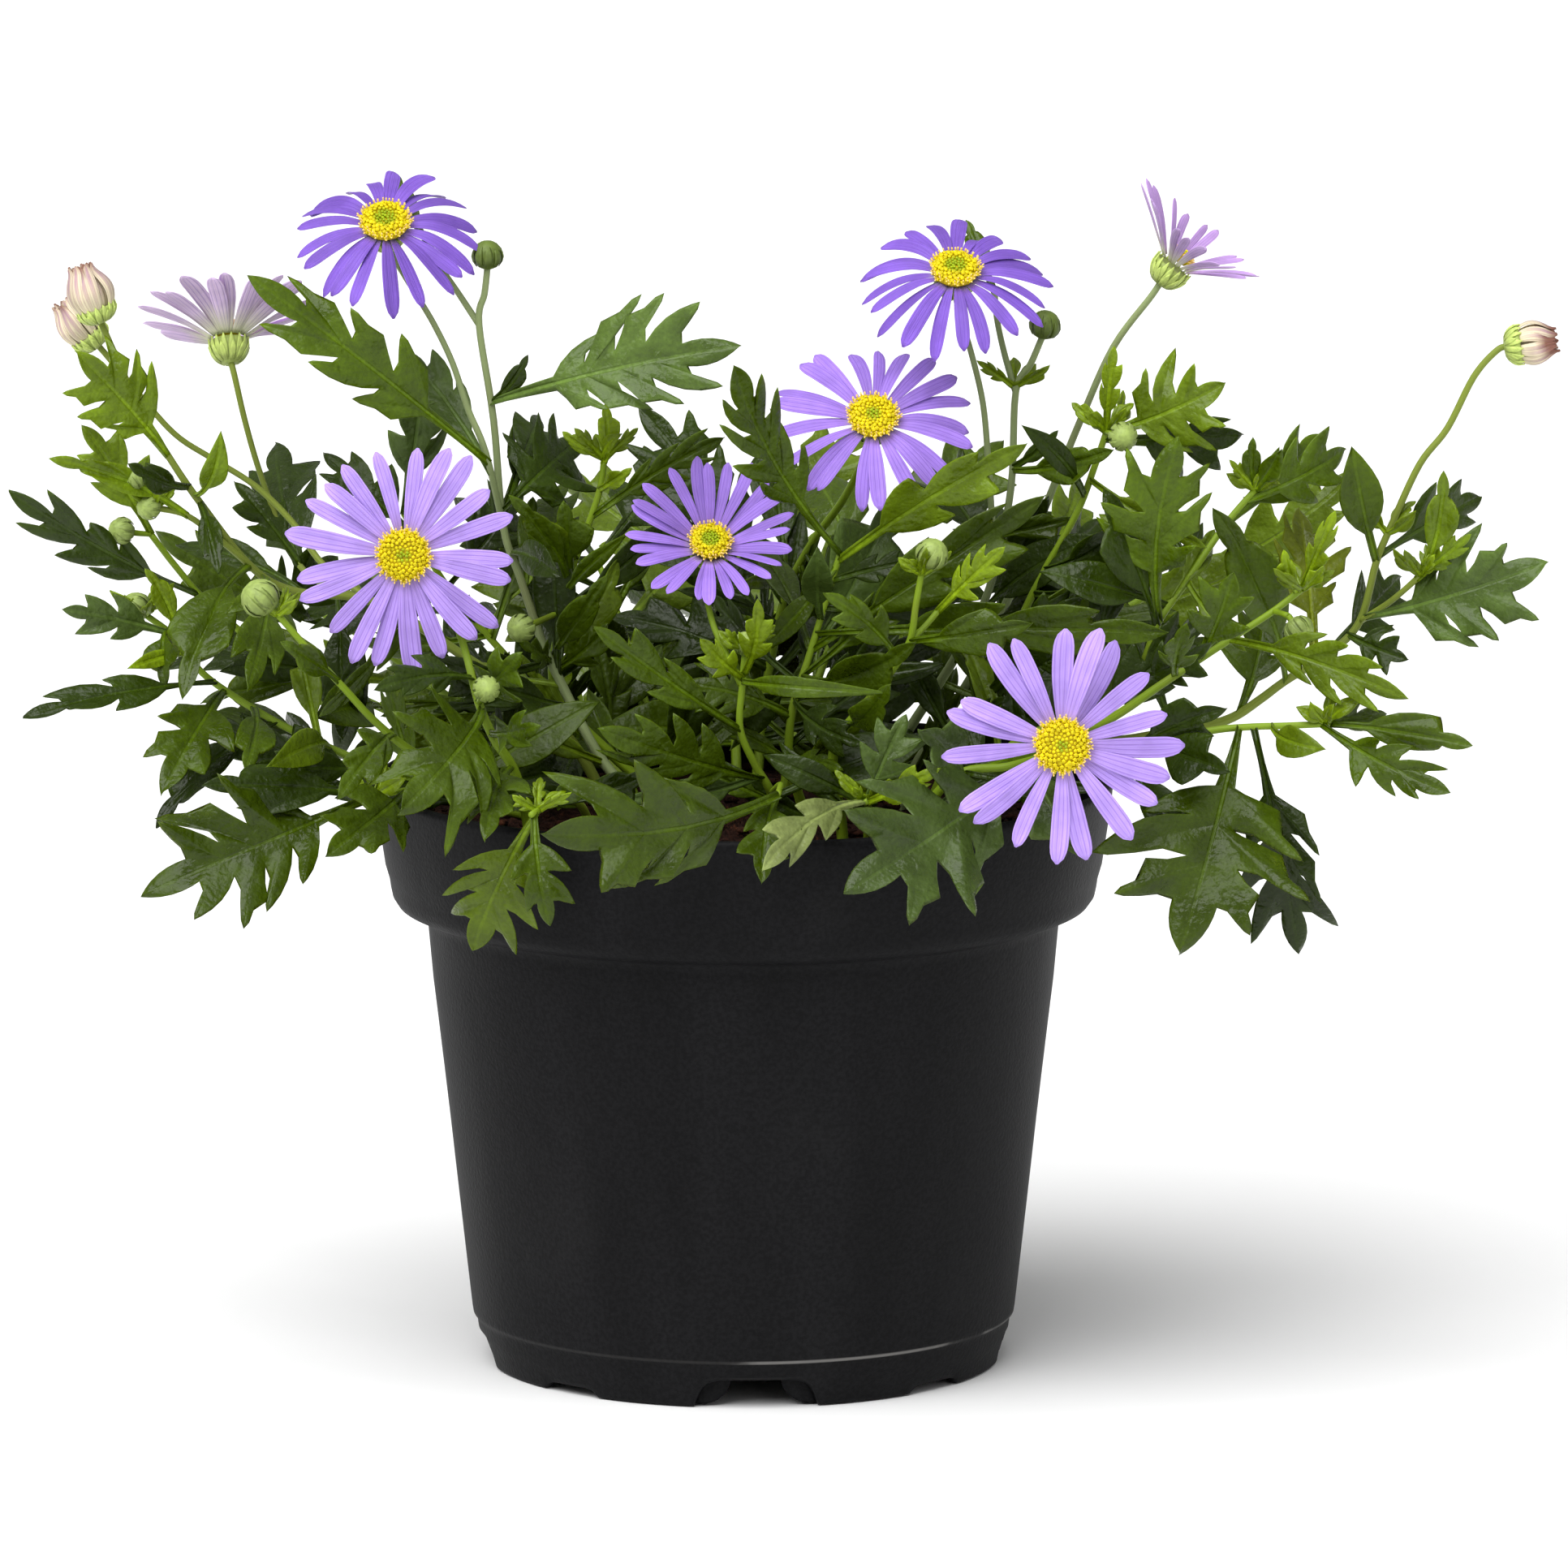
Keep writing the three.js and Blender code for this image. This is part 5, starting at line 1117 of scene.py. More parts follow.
def disc(skin, centre, axis, size, heart_share, material, seed):
    """Disc of florets: a low dome, then florets in a spiral of 137.5 degrees a step, each one's distance from
    the middle the square root of its number. Outer ones are open, inner ones still closed."""
    radius = size * sizes().disc_radius / MM
    rng = np.random.default_rng(seed)
    yellow, green, cream = colour("floret"), colour("floret_bud"), colour("style")
    dome = [(0, 0.84), (0.5, 0.9), (1.0, 0.84), (1.35, 0.6), (1.5, 0.3)]
    profile = [(DISC_BASE + along - 0.1, out * radius) for along, out in dome]
    # The dome is darker than the florets: painted shade in the gaps between them
    skin.tubes(revolved(centre, axis, profile, 24), material, yellow * np.array([0.66, 0.6, 0.6]))
    number = np.arange(FLORETS) + 0.5
    share = np.sqrt(number / FLORETS)
    ring = spokes(axis, np.radians(FLORET_TURN) * number)
    rise = DISC_BASE + 1.35 * (1 - share ** 2.4)
    foot = centre + ((share * radius * 0.86)[:, None] * ring + rise[:, None] * axis)
    lean = unit(axis + (0.55 * share ** 2)[:, None] * ring + 0.07 * rng.normal(size=(FLORETS, 3)))
    side = unit(np.cross(lean, across_axis(axis)[0] + 0.013))
    beside = np.cross(lean, side)
    opened = np.clip((share - 0.42) / 0.2, 0, 1)
    tall = (0.55 + 0.45 * opened) * (1 + 0.12 * rng.normal(size=FLORETS))
    up = np.array([-0.2, 0.45, 0.8, 1.0, 1.06])
    closed_shape = np.array([0.17, 0.23, 0.26, 0.17, 0.04])
    open_shape = np.array([0.15, 0.19, 0.3, 0.36, 0.14])
    girth = (closed_shape + (open_shape - closed_shape) * opened[:, None]) * (0.45 + 0.55 * size)
    around = np.linspace(0, 2 * math.pi, 10, endpoint=False)
    lobed = opened[:, None] * np.array([0, 0, 0.5, 1, 1])
    lobes = 1 + 0.28 * np.cos(5 * around)[None, None, :] * lobed[..., None]
    spoke = np.cos(around)[:, None] * side[:, None] + np.sin(around)[:, None] * beside[:, None]
    grids = foot[:, None, None] + (tall[:, None] * up)[:, :, None, None] * lean[:, None, None]
    grids = grids + (girth[..., None] * lobes)[..., None] * spoke[:, None]
    mix = opened[:, None, None, None]
    heart = np.clip(2.2 * (1 - share / heart_share), 0, 1)[:, None, None, None]
    shade = (0.86 * yellow + 0.14 * green) * (1 - heart) + green * heart
    # Along each floret from foot to tip: painted shade at its foot among the crowded florets, and a darker
    # tip
    shade = (shade * (1 - mix) + yellow * mix) * np.array([0.6, 0.85, 1.0, 1.05, 0.7])[None, :, None, None]
    shade = shade * (1 + 0.08 * rng.normal(size=(FLORETS, 1, 1, 1)))
    skin.tubes(grids, material, shade)
    outer = np.flatnonzero(share > 0.84)
    t = np.array([0.0, 0.5, 0.85, 1.0])
    width = (0.09, 0.09, 0.15, 0.1)
    for way in (-1, 1):
        start = foot[outer] + (tall[outer] * 0.8)[:, None] * lean[outer]
        fork = unit(lean[outer] + 0.4 * ring[outer] + way * 0.5 * side[outer])
        middle = start[:, None] + (t[None, :, None] * 0.85) * fork[:, None]
        grids, _, _ = blades(middle, side[outer][:, None], beside[outer][:, None], width, width, 6)
        skin.tubes(grids, material, cream)


def closed_bloom(skin, centre, axis, length, radius, withered, material, seed):
    """Closed bloom: three rings of upright petals laid together, out to the girth and in again to the tip."""
    rng = np.random.default_rng(seed)
    t = np.linspace(0, 1, 12)
    rounded = np.sqrt(np.clip(1.02 - np.clip((t - 0.7) / 0.3, 0, 1) ** 2, 0, 1))
    shape = (0.55 + 0.45 * np.sin(0.5 * math.pi * t / 0.6)) * rounded
    for count, girth, reach in CLOSED_RINGS:
        ring = spokes(axis, 2 * math.pi * (np.arange(count) + 0.25 * rng.normal(size=count)) / count)
        beside = unit(np.cross(axis, ring))
        out = girth * radius * (0.72 + 0.3 * np.sin(math.pi * np.minimum(1, 1.15 * t)) - 0.22 * t ** 2)
        swing = 0.12 * rng.normal(size=count)[:, None] * t[None] ** 2 * length * 0.5
        tall = -0.5 + (length + 0.5) * reach * (1 - 0.1 * rng.random(count))[:, None] * t[None]
        middle = centre + tall[..., None] * axis + out[None, :, None] * ring[:, None]
        middle = middle + swing[..., None] * beside[:, None]
        width = 1.02 * radius / 3.8 * np.minimum(shape, 1)
        grids, u, _ = blades(middle, beside[:, None], ring[:, None], width, 0.16, 12, -0.25, 0.07)
        dry = withered * (0.5 + rng.random((count, 1, 1, 1)))
        tip = np.clip((t[None, :, None, None] - 1 + dry) / 0.25, 0, 1)
        pale = np.clip(1.2 - t / 0.6, 0, 1)[None, :, None, None]
        stripe = 1 - 0.12 * (np.cos(3 * math.pi * u) > 0.5)[None, None, :, None]
        edge = 0.85 * np.clip((np.abs(u) - 0.2) / 0.3, 0, 1)[None, None, :, None]
        pale = 1 - (1 - pale) * (1 - edge)
        tint = colour("closed_petal") * (1 - pale) + colour("closed_base") * pale
        varied = 1 + 0.06 * rng.normal(size=(count, 1, 1, 1))
        shade = (tint * (1 - tip) + colour("withered") * tip) * stripe * varied
        skin.tubes(grids, material, shade, blade_places(u, t))


def pot_shell(skin, material):
    """Pot wall and foot ring: a closed section turned about the axis. Where a notch stands in the foot ring,
    the lowest points rise to its arch: height * square root of (1 - (angle / half angle) to the sixth)."""
    section = np.array([
        (44.0 - WALL, FLOOR_OVER), (51.3 - WALL, COLLAR_FOOT + 1.8), (55.2 - WALL, COLLAR_FOOT + 3.2),
        (57.2 - WALL, COLLAR_FOOT + 5.2), (58.4 - WALL, 86), (59.5 - WALL, 93), (59.6 - WALL, 94.6),
        (58.5, 95.3), (58.8, 95.62), (59.2, POT_HEIGHT), (59.6, 95.6), (59.95, 95.2), (RIM_RADIUS, 94.6),
        (59.9, 93.2), (59.2, 88), (58.3, 82), (57.6, 79.6), (57.4, 78.2), (57.1, 76.8), (56.3, 75.6),
        (54.8, 74.9), (53.0, 74.6), (52.1, 74.2), (51.55, 73.5), (51.35, 72.4), (50.5, 63), (49.6, 55.5),
        (48.7, 47.8), (47.8, 40),
        (46.9, 31.8), (46.1, 24.6), (45.3, 17.4), (44.6, 11.2), (44.3, 8.6), (44.15, 7.7), (43.75, 7.3),
        (43.5, 6.6), (43.3, 5.2), (42.8, 3.6), (42.4, 2.2), (42.05, 0.5), (41.85, 0.1), (41.5, 0.0),
        (40.8, 0.0), (40.45, 0.15), (FOOT_RADIUS - FOOT_RING, 0.6), (40.2, 3.4), (40.1, FLOOR_UNDER),
    ])
    turn = np.linspace(0, 2 * math.pi, 360, endpoint=False)
    arch = np.zeros_like(turn)
    for i in range(NOTCHES):
        half_angle, height = WIDE_NOTCH if i % 2 == 0 else NARROW_NOTCH
        middle = math.radians(NOTCH_TURN - 90 + i * 360 / NOTCHES)
        away = np.degrees(np.abs((turn - middle + math.pi) % (2 * math.pi) - math.pi))
        arch = np.maximum(arch, height * np.clip(1 - (away / half_angle) ** 6, 0, 1) ** 0.5)
    low = section[:, 1] < 6.0
    z = np.where(low[None], np.maximum(section[None, :, 1], arch[:, None] + 0.15 * section[None, :, 1]),
                 section[None, :, 1])
    radius = section[None, :, 0] + np.where(z > 76, 0.05 * np.cos(3 * turn)[:, None], 0)
    grid = np.stack([radius * np.cos(turn)[:, None], radius * np.sin(turn)[:, None], z], -1)
    skin.hoop(grid, material, colour("pot"))


def notch_cheeks(skin, material):
    """Plates just behind the sides of each wide notch: the opening between them widens towards the ground
    along a quarter ellipse."""
    half_angle, height = WIDE_NOTCH
    z = np.linspace(0.1, FLOOR_UNDER + 0.2, 14)
    fall = np.clip(1 - z / height, 0, 1)
    edge = CHEEK_ANGLE + (half_angle - CHEEK_ANGLE) * (1 - np.sqrt(1 - fall ** 2))
    share = np.array([0, 0.33, 0.67, 1, 1, 0.67, 0.33, 0])
    inside_ring = FOOT_RADIUS - FOOT_RING
    radius = inside_ring + np.array([0.1, 0.1, 0.1, 0.1, -1.1, -1.1, -1.1, -1.1])
    reach = edge[:, None] + share * (half_angle + 1.5 - edge[:, None])
    grids = []
    for i in range(0, NOTCHES, 2):
        for way in (-1, 1):
            angle = np.radians(NOTCH_TURN - 90 + i * 360 / NOTCHES + way * reach)
            level = np.broadcast_to(z[:, None], angle.shape)
            grids.append(np.stack([radius * np.cos(angle), radius * np.sin(angle), level], -1))
    skin.tubes(np.stack(grids), material, colour("pot"))


def pot_floor(skin, material):
    """Pot floor: one quarter for each drain. Its rows are rays from the drain's middle to the nearest of the
    quarter's two straight sides and its arc. Its columns go out under the floor and back on top."""
    rim = FOOT_RADIUS - FOOT_RING + 0.6
    ray = np.linspace(0, 2 * math.pi, 96, endpoint=False)
    for i in range(DRAINS):
        turn = math.radians(DRAIN_TURN + i * 360 / DRAINS)
        middle = np.array([DRAIN_CIRCLE, 0.0])
        way = np.stack([np.cos(ray), np.sin(ray)], -1)
        slope = math.tan(math.pi / DRAINS)
        reach = np.full(len(ray), np.inf)
        for sign in (-1, 1):
            rate = sign * way[:, 1] - slope * way[:, 0]
            cross = slope * middle[0] / np.where(np.abs(rate) < 1e-9, 1e-9, rate)
            reach = np.where((cross > 0) & (cross < reach), cross, reach)
        along = way @ middle
        arc = -along + np.sqrt(along ** 2 + rim ** 2 - middle @ middle)
        reach = np.minimum(reach, arc)
        share = np.linspace(0, 1, 5)[None]
        out = DRAIN_RADIUS + share * (reach[:, None] - DRAIN_RADIUS)
        under = np.hstack([out, out[:, ::-1]])
        height = np.hstack([np.full(out.shape, FLOOR_UNDER), np.full(out.shape, FLOOR_OVER)])
        x = middle[0] + under * way[:, :1]
        y = under * way[:, 1:]
        east = x * math.cos(turn) - y * math.sin(turn)
        north = x * math.sin(turn) + y * math.cos(turn)
        skin.hoop(np.stack([east, north, height], -1), material, colour("pot"))


def peat_body(skin, material, rng):
    """Peat: turned body that fills the pot, its top lifted by waves and grain."""
    wall = [(8.4, 0.5), (8.4, 20), (8.4, 41), (9.2, 42.2), (40, 46.2), (70, 49.6), (75.6, 49.8), (77.8, 53.6),
            (80, 55.2), (87.0, 55.9)]
    surface = [(87.4 + 0.9 * (1 - radius / 55.5), radius) for radius in np.linspace(55.2, 1.2, 44)]
    profile = np.array(wall + surface)
    grid = revolved(np.zeros(3), UP, profile, PEAT_SIDES)
    x, y = grid[..., 0], grid[..., 1]
    top = (profile[:, 0] > 87)[:, None]
    lumps = 0.55 * np.sin(0.31 * x + 1) * np.cos(0.27 * y)
    lumps = lumps + 0.35 * np.sin(0.9 * x + 0.7 * y) * np.cos(1.1 * y - 0.4 * x)
    grain = 0.28 * rng.normal(size=x.shape)
    grid[..., 2] += np.where(top, lumps + grain, 0)
    shade = colour("peat") * (1 + 0.25 * rng.normal(size=x.shape + (1,)))
    skin.tubes(grid, material, np.clip(shade, 0.004, 1))


def crumbs(skin, material, rng):
    """Loose crumbs on the peat: five-sided grains, each ring of points pushed in and out by chance."""
    count = sizes().crumbs
    turn = 2 * math.pi * rng.random(count)
    out = CRUMB_CIRCLE * np.sqrt(rng.random(count))
    size = rng.uniform(*CRUMB_SIZE, count)
    middle = np.stack([out * np.cos(turn), out * np.sin(turn), SOIL_TOP + 0.2 * size], -1)
    around = np.linspace(0, 2 * math.pi, 5, endpoint=False)
    levels = np.array([-0.6, 0.05, 0.6])
    girth = np.array([0.6, 1.0, 0.55])
    jitter = 1 + 0.3 * rng.normal(size=(count, 3, 5))
    radius = size[:, None, None] * girth[None, :, None] * jitter * 0.75
    angle = around[None, None] + turn[:, None, None]
    x = middle[:, 0, None, None] + radius * np.cos(angle) * 1.25
    y = middle[:, 1, None, None] + radius * np.sin(angle)
    z = middle[:, 2, None, None] + (size[:, None] * levels)[..., None] * 0.6
    grids = np.stack([x, y, np.broadcast_to(z, radius.shape)], -1)
    shade = colour("peat") * rng.uniform(0.5, 1.7, (count, 1, 1, 1)) * np.array([1.0, 0.97, 0.92])
    skin.tubes(grids, material, shade)


# The plant's structure

def root_places(root):
    """The stem rises straight out of the peat before it passes its places."""
    return np.array([(root[0], root[1], ROOT_BOTTOM), (root[0], root[1], SOIL_TOP + 2)])


def open_place(bloom):
    """Centre and axis of an open bloom."""
    return sight(bloom[:3]), unit(np.array(bloom[3:6], float))


def closed_place(bloom):
    """Foot, axis and centre of a closed bloom."""
    foot = sight(bloom[:3])
    axis = unit(sight(bloom[3:6]) - foot)
    return foot, axis, foot + CLOSED_CUP_HEIGHT * axis


def flowers():
    """Foot of the petals in the solids, axis, centre and cup height of every bloom, open and closed."""
    found = []
    for bloom in BLOOMS.values():
        centre, axis = open_place(bloom)
        found.append((centre, axis, centre, CUP_HEIGHT))
    found += [(*closed_place(bloom), CLOSED_CUP_HEIGHT) for bloom in CLOSED_BLOOMS.values()]
    return found


def flower_above(end):
    """The flower whose cup starts close above a stem's end, as (neck, centre, axis, height), or None."""
    for foot, axis, centre, height in flowers():
        if np.linalg.norm(foot + (1 - CALYX_HEIGHT) * axis - end) < CUP_REACH:
            return centre + (1 - height) * axis, centre, axis, height
    return None


def foot_on(feet, across, height):
    """The place on the stems that is seen nearest to the given one."""
    return feet[np.argmin(((seen(feet) - (across, height)) ** 2).sum(1))]


def back_routes():
    """Stems of the back shoots: radius and turn go from the root's to the lean's, with the height."""
    routes = {}
    for number, (root_azimuth, lean_azimuth, reach, height) in enumerate(BACK_SHOOTS, 1):
        start, lean = math.radians(root_azimuth), math.radians(lean_azimuth)
        root = (BACK_ROOT_RADIUS * math.cos(start), BACK_ROOT_RADIUS * math.sin(start))
        steps = np.array([(0.34, 0.3), (0.62, 0.62), (0.86, 0.88), (1, 1)])
        radius = BACK_ROOT_RADIUS + (reach - BACK_ROOT_RADIUS) * steps[:, 0]
        turn = start + (lean - start) * steps[:, 0]
        tall = SOIL_TOP + 4 + (height - SOIL_TOP) * steps[:, 1]
        main = np.stack([radius * np.cos(turn), radius * np.sin(turn), tall], -1)
        routes[f"shoot_back_{number}"] = np.vstack([root_places(root), main])
    return routes


def foot_places(places):
    """Places along a route, close together, where a leaf may stand."""
    rows = []
    for start, end in zip(places[:-1], places[1:]):
        count = max(1, round(float(np.linalg.norm(end - start)) / FOOT_STEP))
        share = (np.arange(count) + 1)[:, None] / count
        rows.append(start + (end - start) * share)
    return np.vstack(rows)


def back_leaves(skin, number, feet, source, material, rng):
    """Leaves of a back shoot stand out by turns, rising and then nodding."""
    lean = math.radians(BACK_SHOOTS[number - 1][1])
    for k in range(BACK_LEAVES):
        at = feet[round((0.42 + 0.58 * k / (BACK_LEAVES - 1)) * (len(feet) - 1))]
        turn = lean + (1 if k % 2 == 0 else -1) * (0.5 + 0.7 * next(source))
        rise = 0.1 + 0.5 * k / (BACK_LEAVES - 1)
        length = BACK_LENGTH[0] + BACK_LENGTH[1] * next(source)
        level = math.cos(rise)
        tip = at + length * np.array([level * math.cos(turn), level * math.sin(turn), math.sin(rise)])
        half = BACK_HALF[0] + BACK_HALF[1] * next(source)
        roll = BACK_ROLL[0] + BACK_ROLL[1] * next(source)
        tip = tip + BACK_STEPS.get((number, k), 0.0) * unit(tip - EYE)
        tone = colour(LEAF_TONES[int(rng.integers(0, 3))])
        if (number, k) != BACK_WITHOUT:
            leaf(skin, at, tip, half, 2, roll, -0.1, tone, material, rng)


def inside(outline, places):
    """True for each place inside the closed outline, by counting the sides that a level ray crosses."""
    x, y = places[:, None, 0], places[:, None, 1]
    ax, ay = outline[:, 0], outline[:, 1]
    bx, by = np.roll(ax, -1), np.roll(ay, -1)
    spans = (ay > y) != (by > y)
    crossing = ax + (y - ay) * (bx - ax) / np.where(by == ay, 1e-9, by - ay)
    return ((spans & (x < crossing)).sum(1) % 2).astype(bool)


def clear_of_blooms(points):
    """True if no point lies in an open bloom or stands in front of one, nearer to the eye."""
    for bloom in BLOOMS.values():
        centre, axis = open_place(bloom)
        radius = bloom[7]
        apart = points - centre
        along = apart @ axis
        away = np.linalg.norm(apart - along[:, None] * axis, axis=1)
        if np.any((away < radius + 1.5) & (along > -3) & (along < 9)):
            return False
        shown = np.linalg.norm(seen(points) - seen(centre[None]), axis=1)
        if np.any((shown < radius * 0.95) & (points[:, 1] < centre[1] + 2)):
            return False
    return True


def filling_leaf(feet, rng):
    """A leaf inside the bush as (foot, tip, half width, pairs, roll), or None if it has no room."""
    at = feet[rng.integers(len(feet))]
    if at[2] < SOIL_TOP + 3:
        return None
    outward = np.array([at[0], at[1], 0.0]) / RIM_RADIUS
    way = unit(unit(rng.normal(size=3)) + 0.6 * outward + (0, -0.1, 0.35))
    length = rng.uniform(*FILLING_LENGTH)
    tip = at + length * way
    points = at + np.linspace(0, 1, 6)[:, None] * (tip - at)
    front = min(at[1], tip[1])
    if front < FILLING_FRONT and max(at[2], tip[2]) > LOW_FILLING:
        return None
    if tip[2] < SOIL_TOP or not inside(BUSH, seen(points[2:])).all() or not clear_of_blooms(points):
        return None
    half = length * rng.uniform(*FILLING_HALF)
    return at, tip, half, int(rng.integers(0, 3)), rng.uniform(-35, 35)


def tuft(skin, middle, count, length, material, rng):
    """Tuft of young leaves that fan out and up from one place, turned by the golden angle each."""
    for k in range(count):
        turn = TUFT_TURN * k + rng.random()
        way = unit(np.array([math.cos(turn), 0.8 * math.sin(turn), 0.5 + 0.5 * rng.random()]))
        tip = middle + way * length * rng.uniform(0.6, 1.05)
        tone = colour("leaf_young") * rng.uniform(0.7, 1.05)
        pairs, roll = int(rng.integers(0, 3)), rng.uniform(-40, 40)
        leaf(skin, middle, tip, length * 0.16, pairs, roll, 0.1, tone, material, rng)


# Finishes

# Second colours of the finishes, as they look on a screen
STEM_BARK = (112, 92, 54)
# Groove colours of open and closed petals: painted shade in the grooves
PETAL_GROOVE_SHADE = (108, 68, 172)
CLOSED_GROOVE_SHADE = (158, 92, 112)
# Pale grey for the pot's dust and for the painted highlight along the foot ring's top edge
POT_DUST_AND_HIGHLIGHT = (150, 148, 145)
PEAT_FIBRE = (100, 62, 44)


def screen(shade):
    """A colour as it looks on a screen, for a colour socket."""
    return *linear(*shade), 1.0


class Finish:
    """Node builder for one material: each call adds a node, sets its sockets and gives its first output."""

    def __init__(self, name, roughness, specular, subsurface=0.0):
        self.material = bpy.data.materials.new(name)
        self.material.use_nodes = True
        self.tree = self.material.node_tree
        self.shader = self.tree.nodes["Principled BSDF"]
        self.shader.inputs["Roughness"].default_value = roughness
        self.shader.inputs["Specular IOR Level"].default_value = specular
        if subsurface:
            self.shader.inputs["Subsurface Weight"].default_value = subsurface
            self.shader.inputs["Subsurface Radius"].default_value = (0.6, 0.6, 0.4)
            self.shader.inputs["Subsurface Scale"].default_value = 0.0012

    def node(self, kind, values, output=0, **settings):
        """Adds a node: values go to its sockets, linked or plain, and settings to its properties."""
        made = self.tree.nodes.new(kind)
        for key, value in settings.items():
            setattr(made, key, value)
        for socket, value in values.items():
            if isinstance(value, bpy.types.NodeSocket):
                self.tree.links.new(value, made.inputs[socket])
            else:
                made.inputs[socket].default_value = value
        return made.outputs[output]

    def place(self):
        """Place on the object, in metres."""
        return self.node("ShaderNodeTexCoord", {}, "Object")

    def noise(self, scale, detail=2.0, vector=None):
        """Cloudy values from 0 to 1, laid out in the object's own space unless a vector is given."""
        sockets = {"Vector": vector or self.place(), "Scale": scale, "Detail": detail}
        return self.node("ShaderNodeTexNoise", sockets)

    def attribute(self, name, output="Color"):
        """A value or colour stored with the mesh."""
        return self.node("ShaderNodeAttribute", {}, output, attribute_name=name)

    def blade(self):
        """Across and along on the blade, each from 0 to 1."""
        layer = self.node("ShaderNodeUVMap", {}, uv_map="blade")
        split = self.node("ShaderNodeSeparateXYZ", {0: layer}).node
        return split.outputs[0], split.outputs[1]

    def math(self, operation, first, second=0.0):
        """One arithmetic step on two sockets or numbers."""
        return self.node("ShaderNodeMath", {0: first, 1: second}, operation=operation)

    def band(self, value, low, high, start, end):
        """Smooth step of a value from start at low to end at high."""
        sockets = {0: value, 1: low, 2: high, 3: start, 4: end}
        return self.node("ShaderNodeMapRange", sockets, interpolation_type="SMOOTHSTEP")

    def mix(self, share, first, second, blend="MIX"):
        """Blend of two colours by a share."""
        sockets = {0: share, 6: first, 7: second}
        return self.node("ShaderNodeMix", sockets, 2, data_type="RGBA", blend_type=blend)

    def shaded(self, base, amount):
        """The colour times a grey: amount is a socket from about 0.5 to 1.5."""
        grey = self.node("ShaderNodeCombineColor", {0: amount, 1: amount, 2: amount})
        return self.mix(1.0, base, grey, "MULTIPLY")

    def done(self, base, bump, strength, distance, roughness=None):
        """Joins the colour, the bump and, where given, the roughness to the shader."""
        self.tree.links.new(base, self.shader.inputs["Base Color"])
        normal = self.node("ShaderNodeBump", {"Height": bump, "Strength": strength, "Distance": distance})
        self.tree.links.new(normal, self.shader.inputs["Normal"])
        if roughness is not None:
            self.tree.links.new(roughness, self.shader.inputs["Roughness"])
        return self.material


def leaf_finish():
    """Leaf: tint mottled by two noises, with a paler midrib and fainter veins into the fingers."""
    made = Finish("leaf_blade", 0.3, 0.25, 0.05)
    across, along = made.blade()
    broad = made.noise(150.0)
    blister = made.noise(420.0)
    fine = made.noise(1500.0, 3.0)
    base = made.shaded(made.attribute("tint"), made.band(broad, 0.3, 0.7, 0.8, 1.2))
    base = made.shaded(base, made.band(fine, 0.25, 0.75, 0.88, 1.12))
    off = made.math("ABSOLUTE", made.math("SUBTRACT", across, 0.5))
    rib = made.math("MULTIPLY", made.band(off, 0.003, 0.011, 1.0, 0.0), made.band(along, 0.2, 1.0, 0.9, 0.2))
    veins = made.math("POWER", made.attribute("vein", "Fac"), 4.0)
    lines = made.math("MAXIMUM", rib, made.math("MULTIPLY", veins, 0.4))
    base = made.mix(lines, base, made.shaded(base, 1.8))
    relief = made.math("ADD", made.math("MULTIPLY", blister, 1.1), made.math("MULTIPLY", fine, 0.3))
    relief = made.math("SUBTRACT", relief, made.math("MULTIPLY", lines, 0.5))
    return made.done(base, relief, 0.8, 0.0006, made.band(broad, 0.3, 0.7, 0.22, 0.42))


def stem_finish():
    """Stem: tint with fine lengthwise streaks and a few browner stretches."""
    made = Finish("stem_skin", 0.45, 0.25)
    around, along = made.blade()
    streak = made.node("ShaderNodeCombineXYZ", {0: made.math("MULTIPLY", around, 40.0), 1: along})
    lines = made.noise(1.2, 2.0, streak)
    broad = made.noise(90.0)
    base = made.shaded(made.attribute("tint"), made.band(lines, 0.3, 0.7, 0.82, 1.16))
    base = made.mix(made.band(broad, 0.55, 0.75, 0.0, 0.2), base, screen(STEM_BARK))
    return made.done(base, lines, 0.3, 0.0002)


def petal_finish(name, roughness, groove, groove_shade_colour):
    """Petal: tint with lengthwise grooves darkened by painted shade and a soft cloud of lighter and darker
    patches.
    """
    made = Finish(name, roughness, 0.25, 0.12)
    across, along = made.blade()
    waves = made.math("COSINE", made.math("MULTIPLY", across, 2 * math.pi * 4.0))
    lines = made.band(waves, -1.0, -0.45, 1.0, 0.0)
    lines = made.math("MULTIPLY", lines, made.band(along, 0.05, 0.4, 0.3, 1.0))
    cloud = made.noise(260.0)
    streaks = made.noise(1.0, 3.0, made.node("ShaderNodeCombineXYZ", {
        0: made.math("MULTIPLY", across, 16.0), 1: made.math("MULTIPLY", along, 1.5), 2: made.noise(70.0)}))
    base = made.shaded(made.attribute("tint"), made.band(cloud, 0.3, 0.7, 0.92, 1.08))
    base = made.shaded(base, made.band(streaks, 0.3, 0.7, 0.9, 1.1))
    # Painted shade: the grooves darken towards the groove colour
    base = made.mix(made.math("MULTIPLY", lines, groove), base, screen(groove_shade_colour))
    return made.done(base, made.math("SUBTRACT", streaks, lines), 0.35, 0.0002)


def grain_finish(name, roughness, scale, low, high, distance, subsurface, specular):
    """Tint broken up by a fine grain that also lifts the surface."""
    made = Finish(name, roughness, specular, subsurface)
    grain = made.noise(scale, 3.0)
    base = made.shaded(made.attribute("tint"), made.band(grain, 0.3, 0.7, low, high))
    return made.done(base, grain, 0.5, distance)


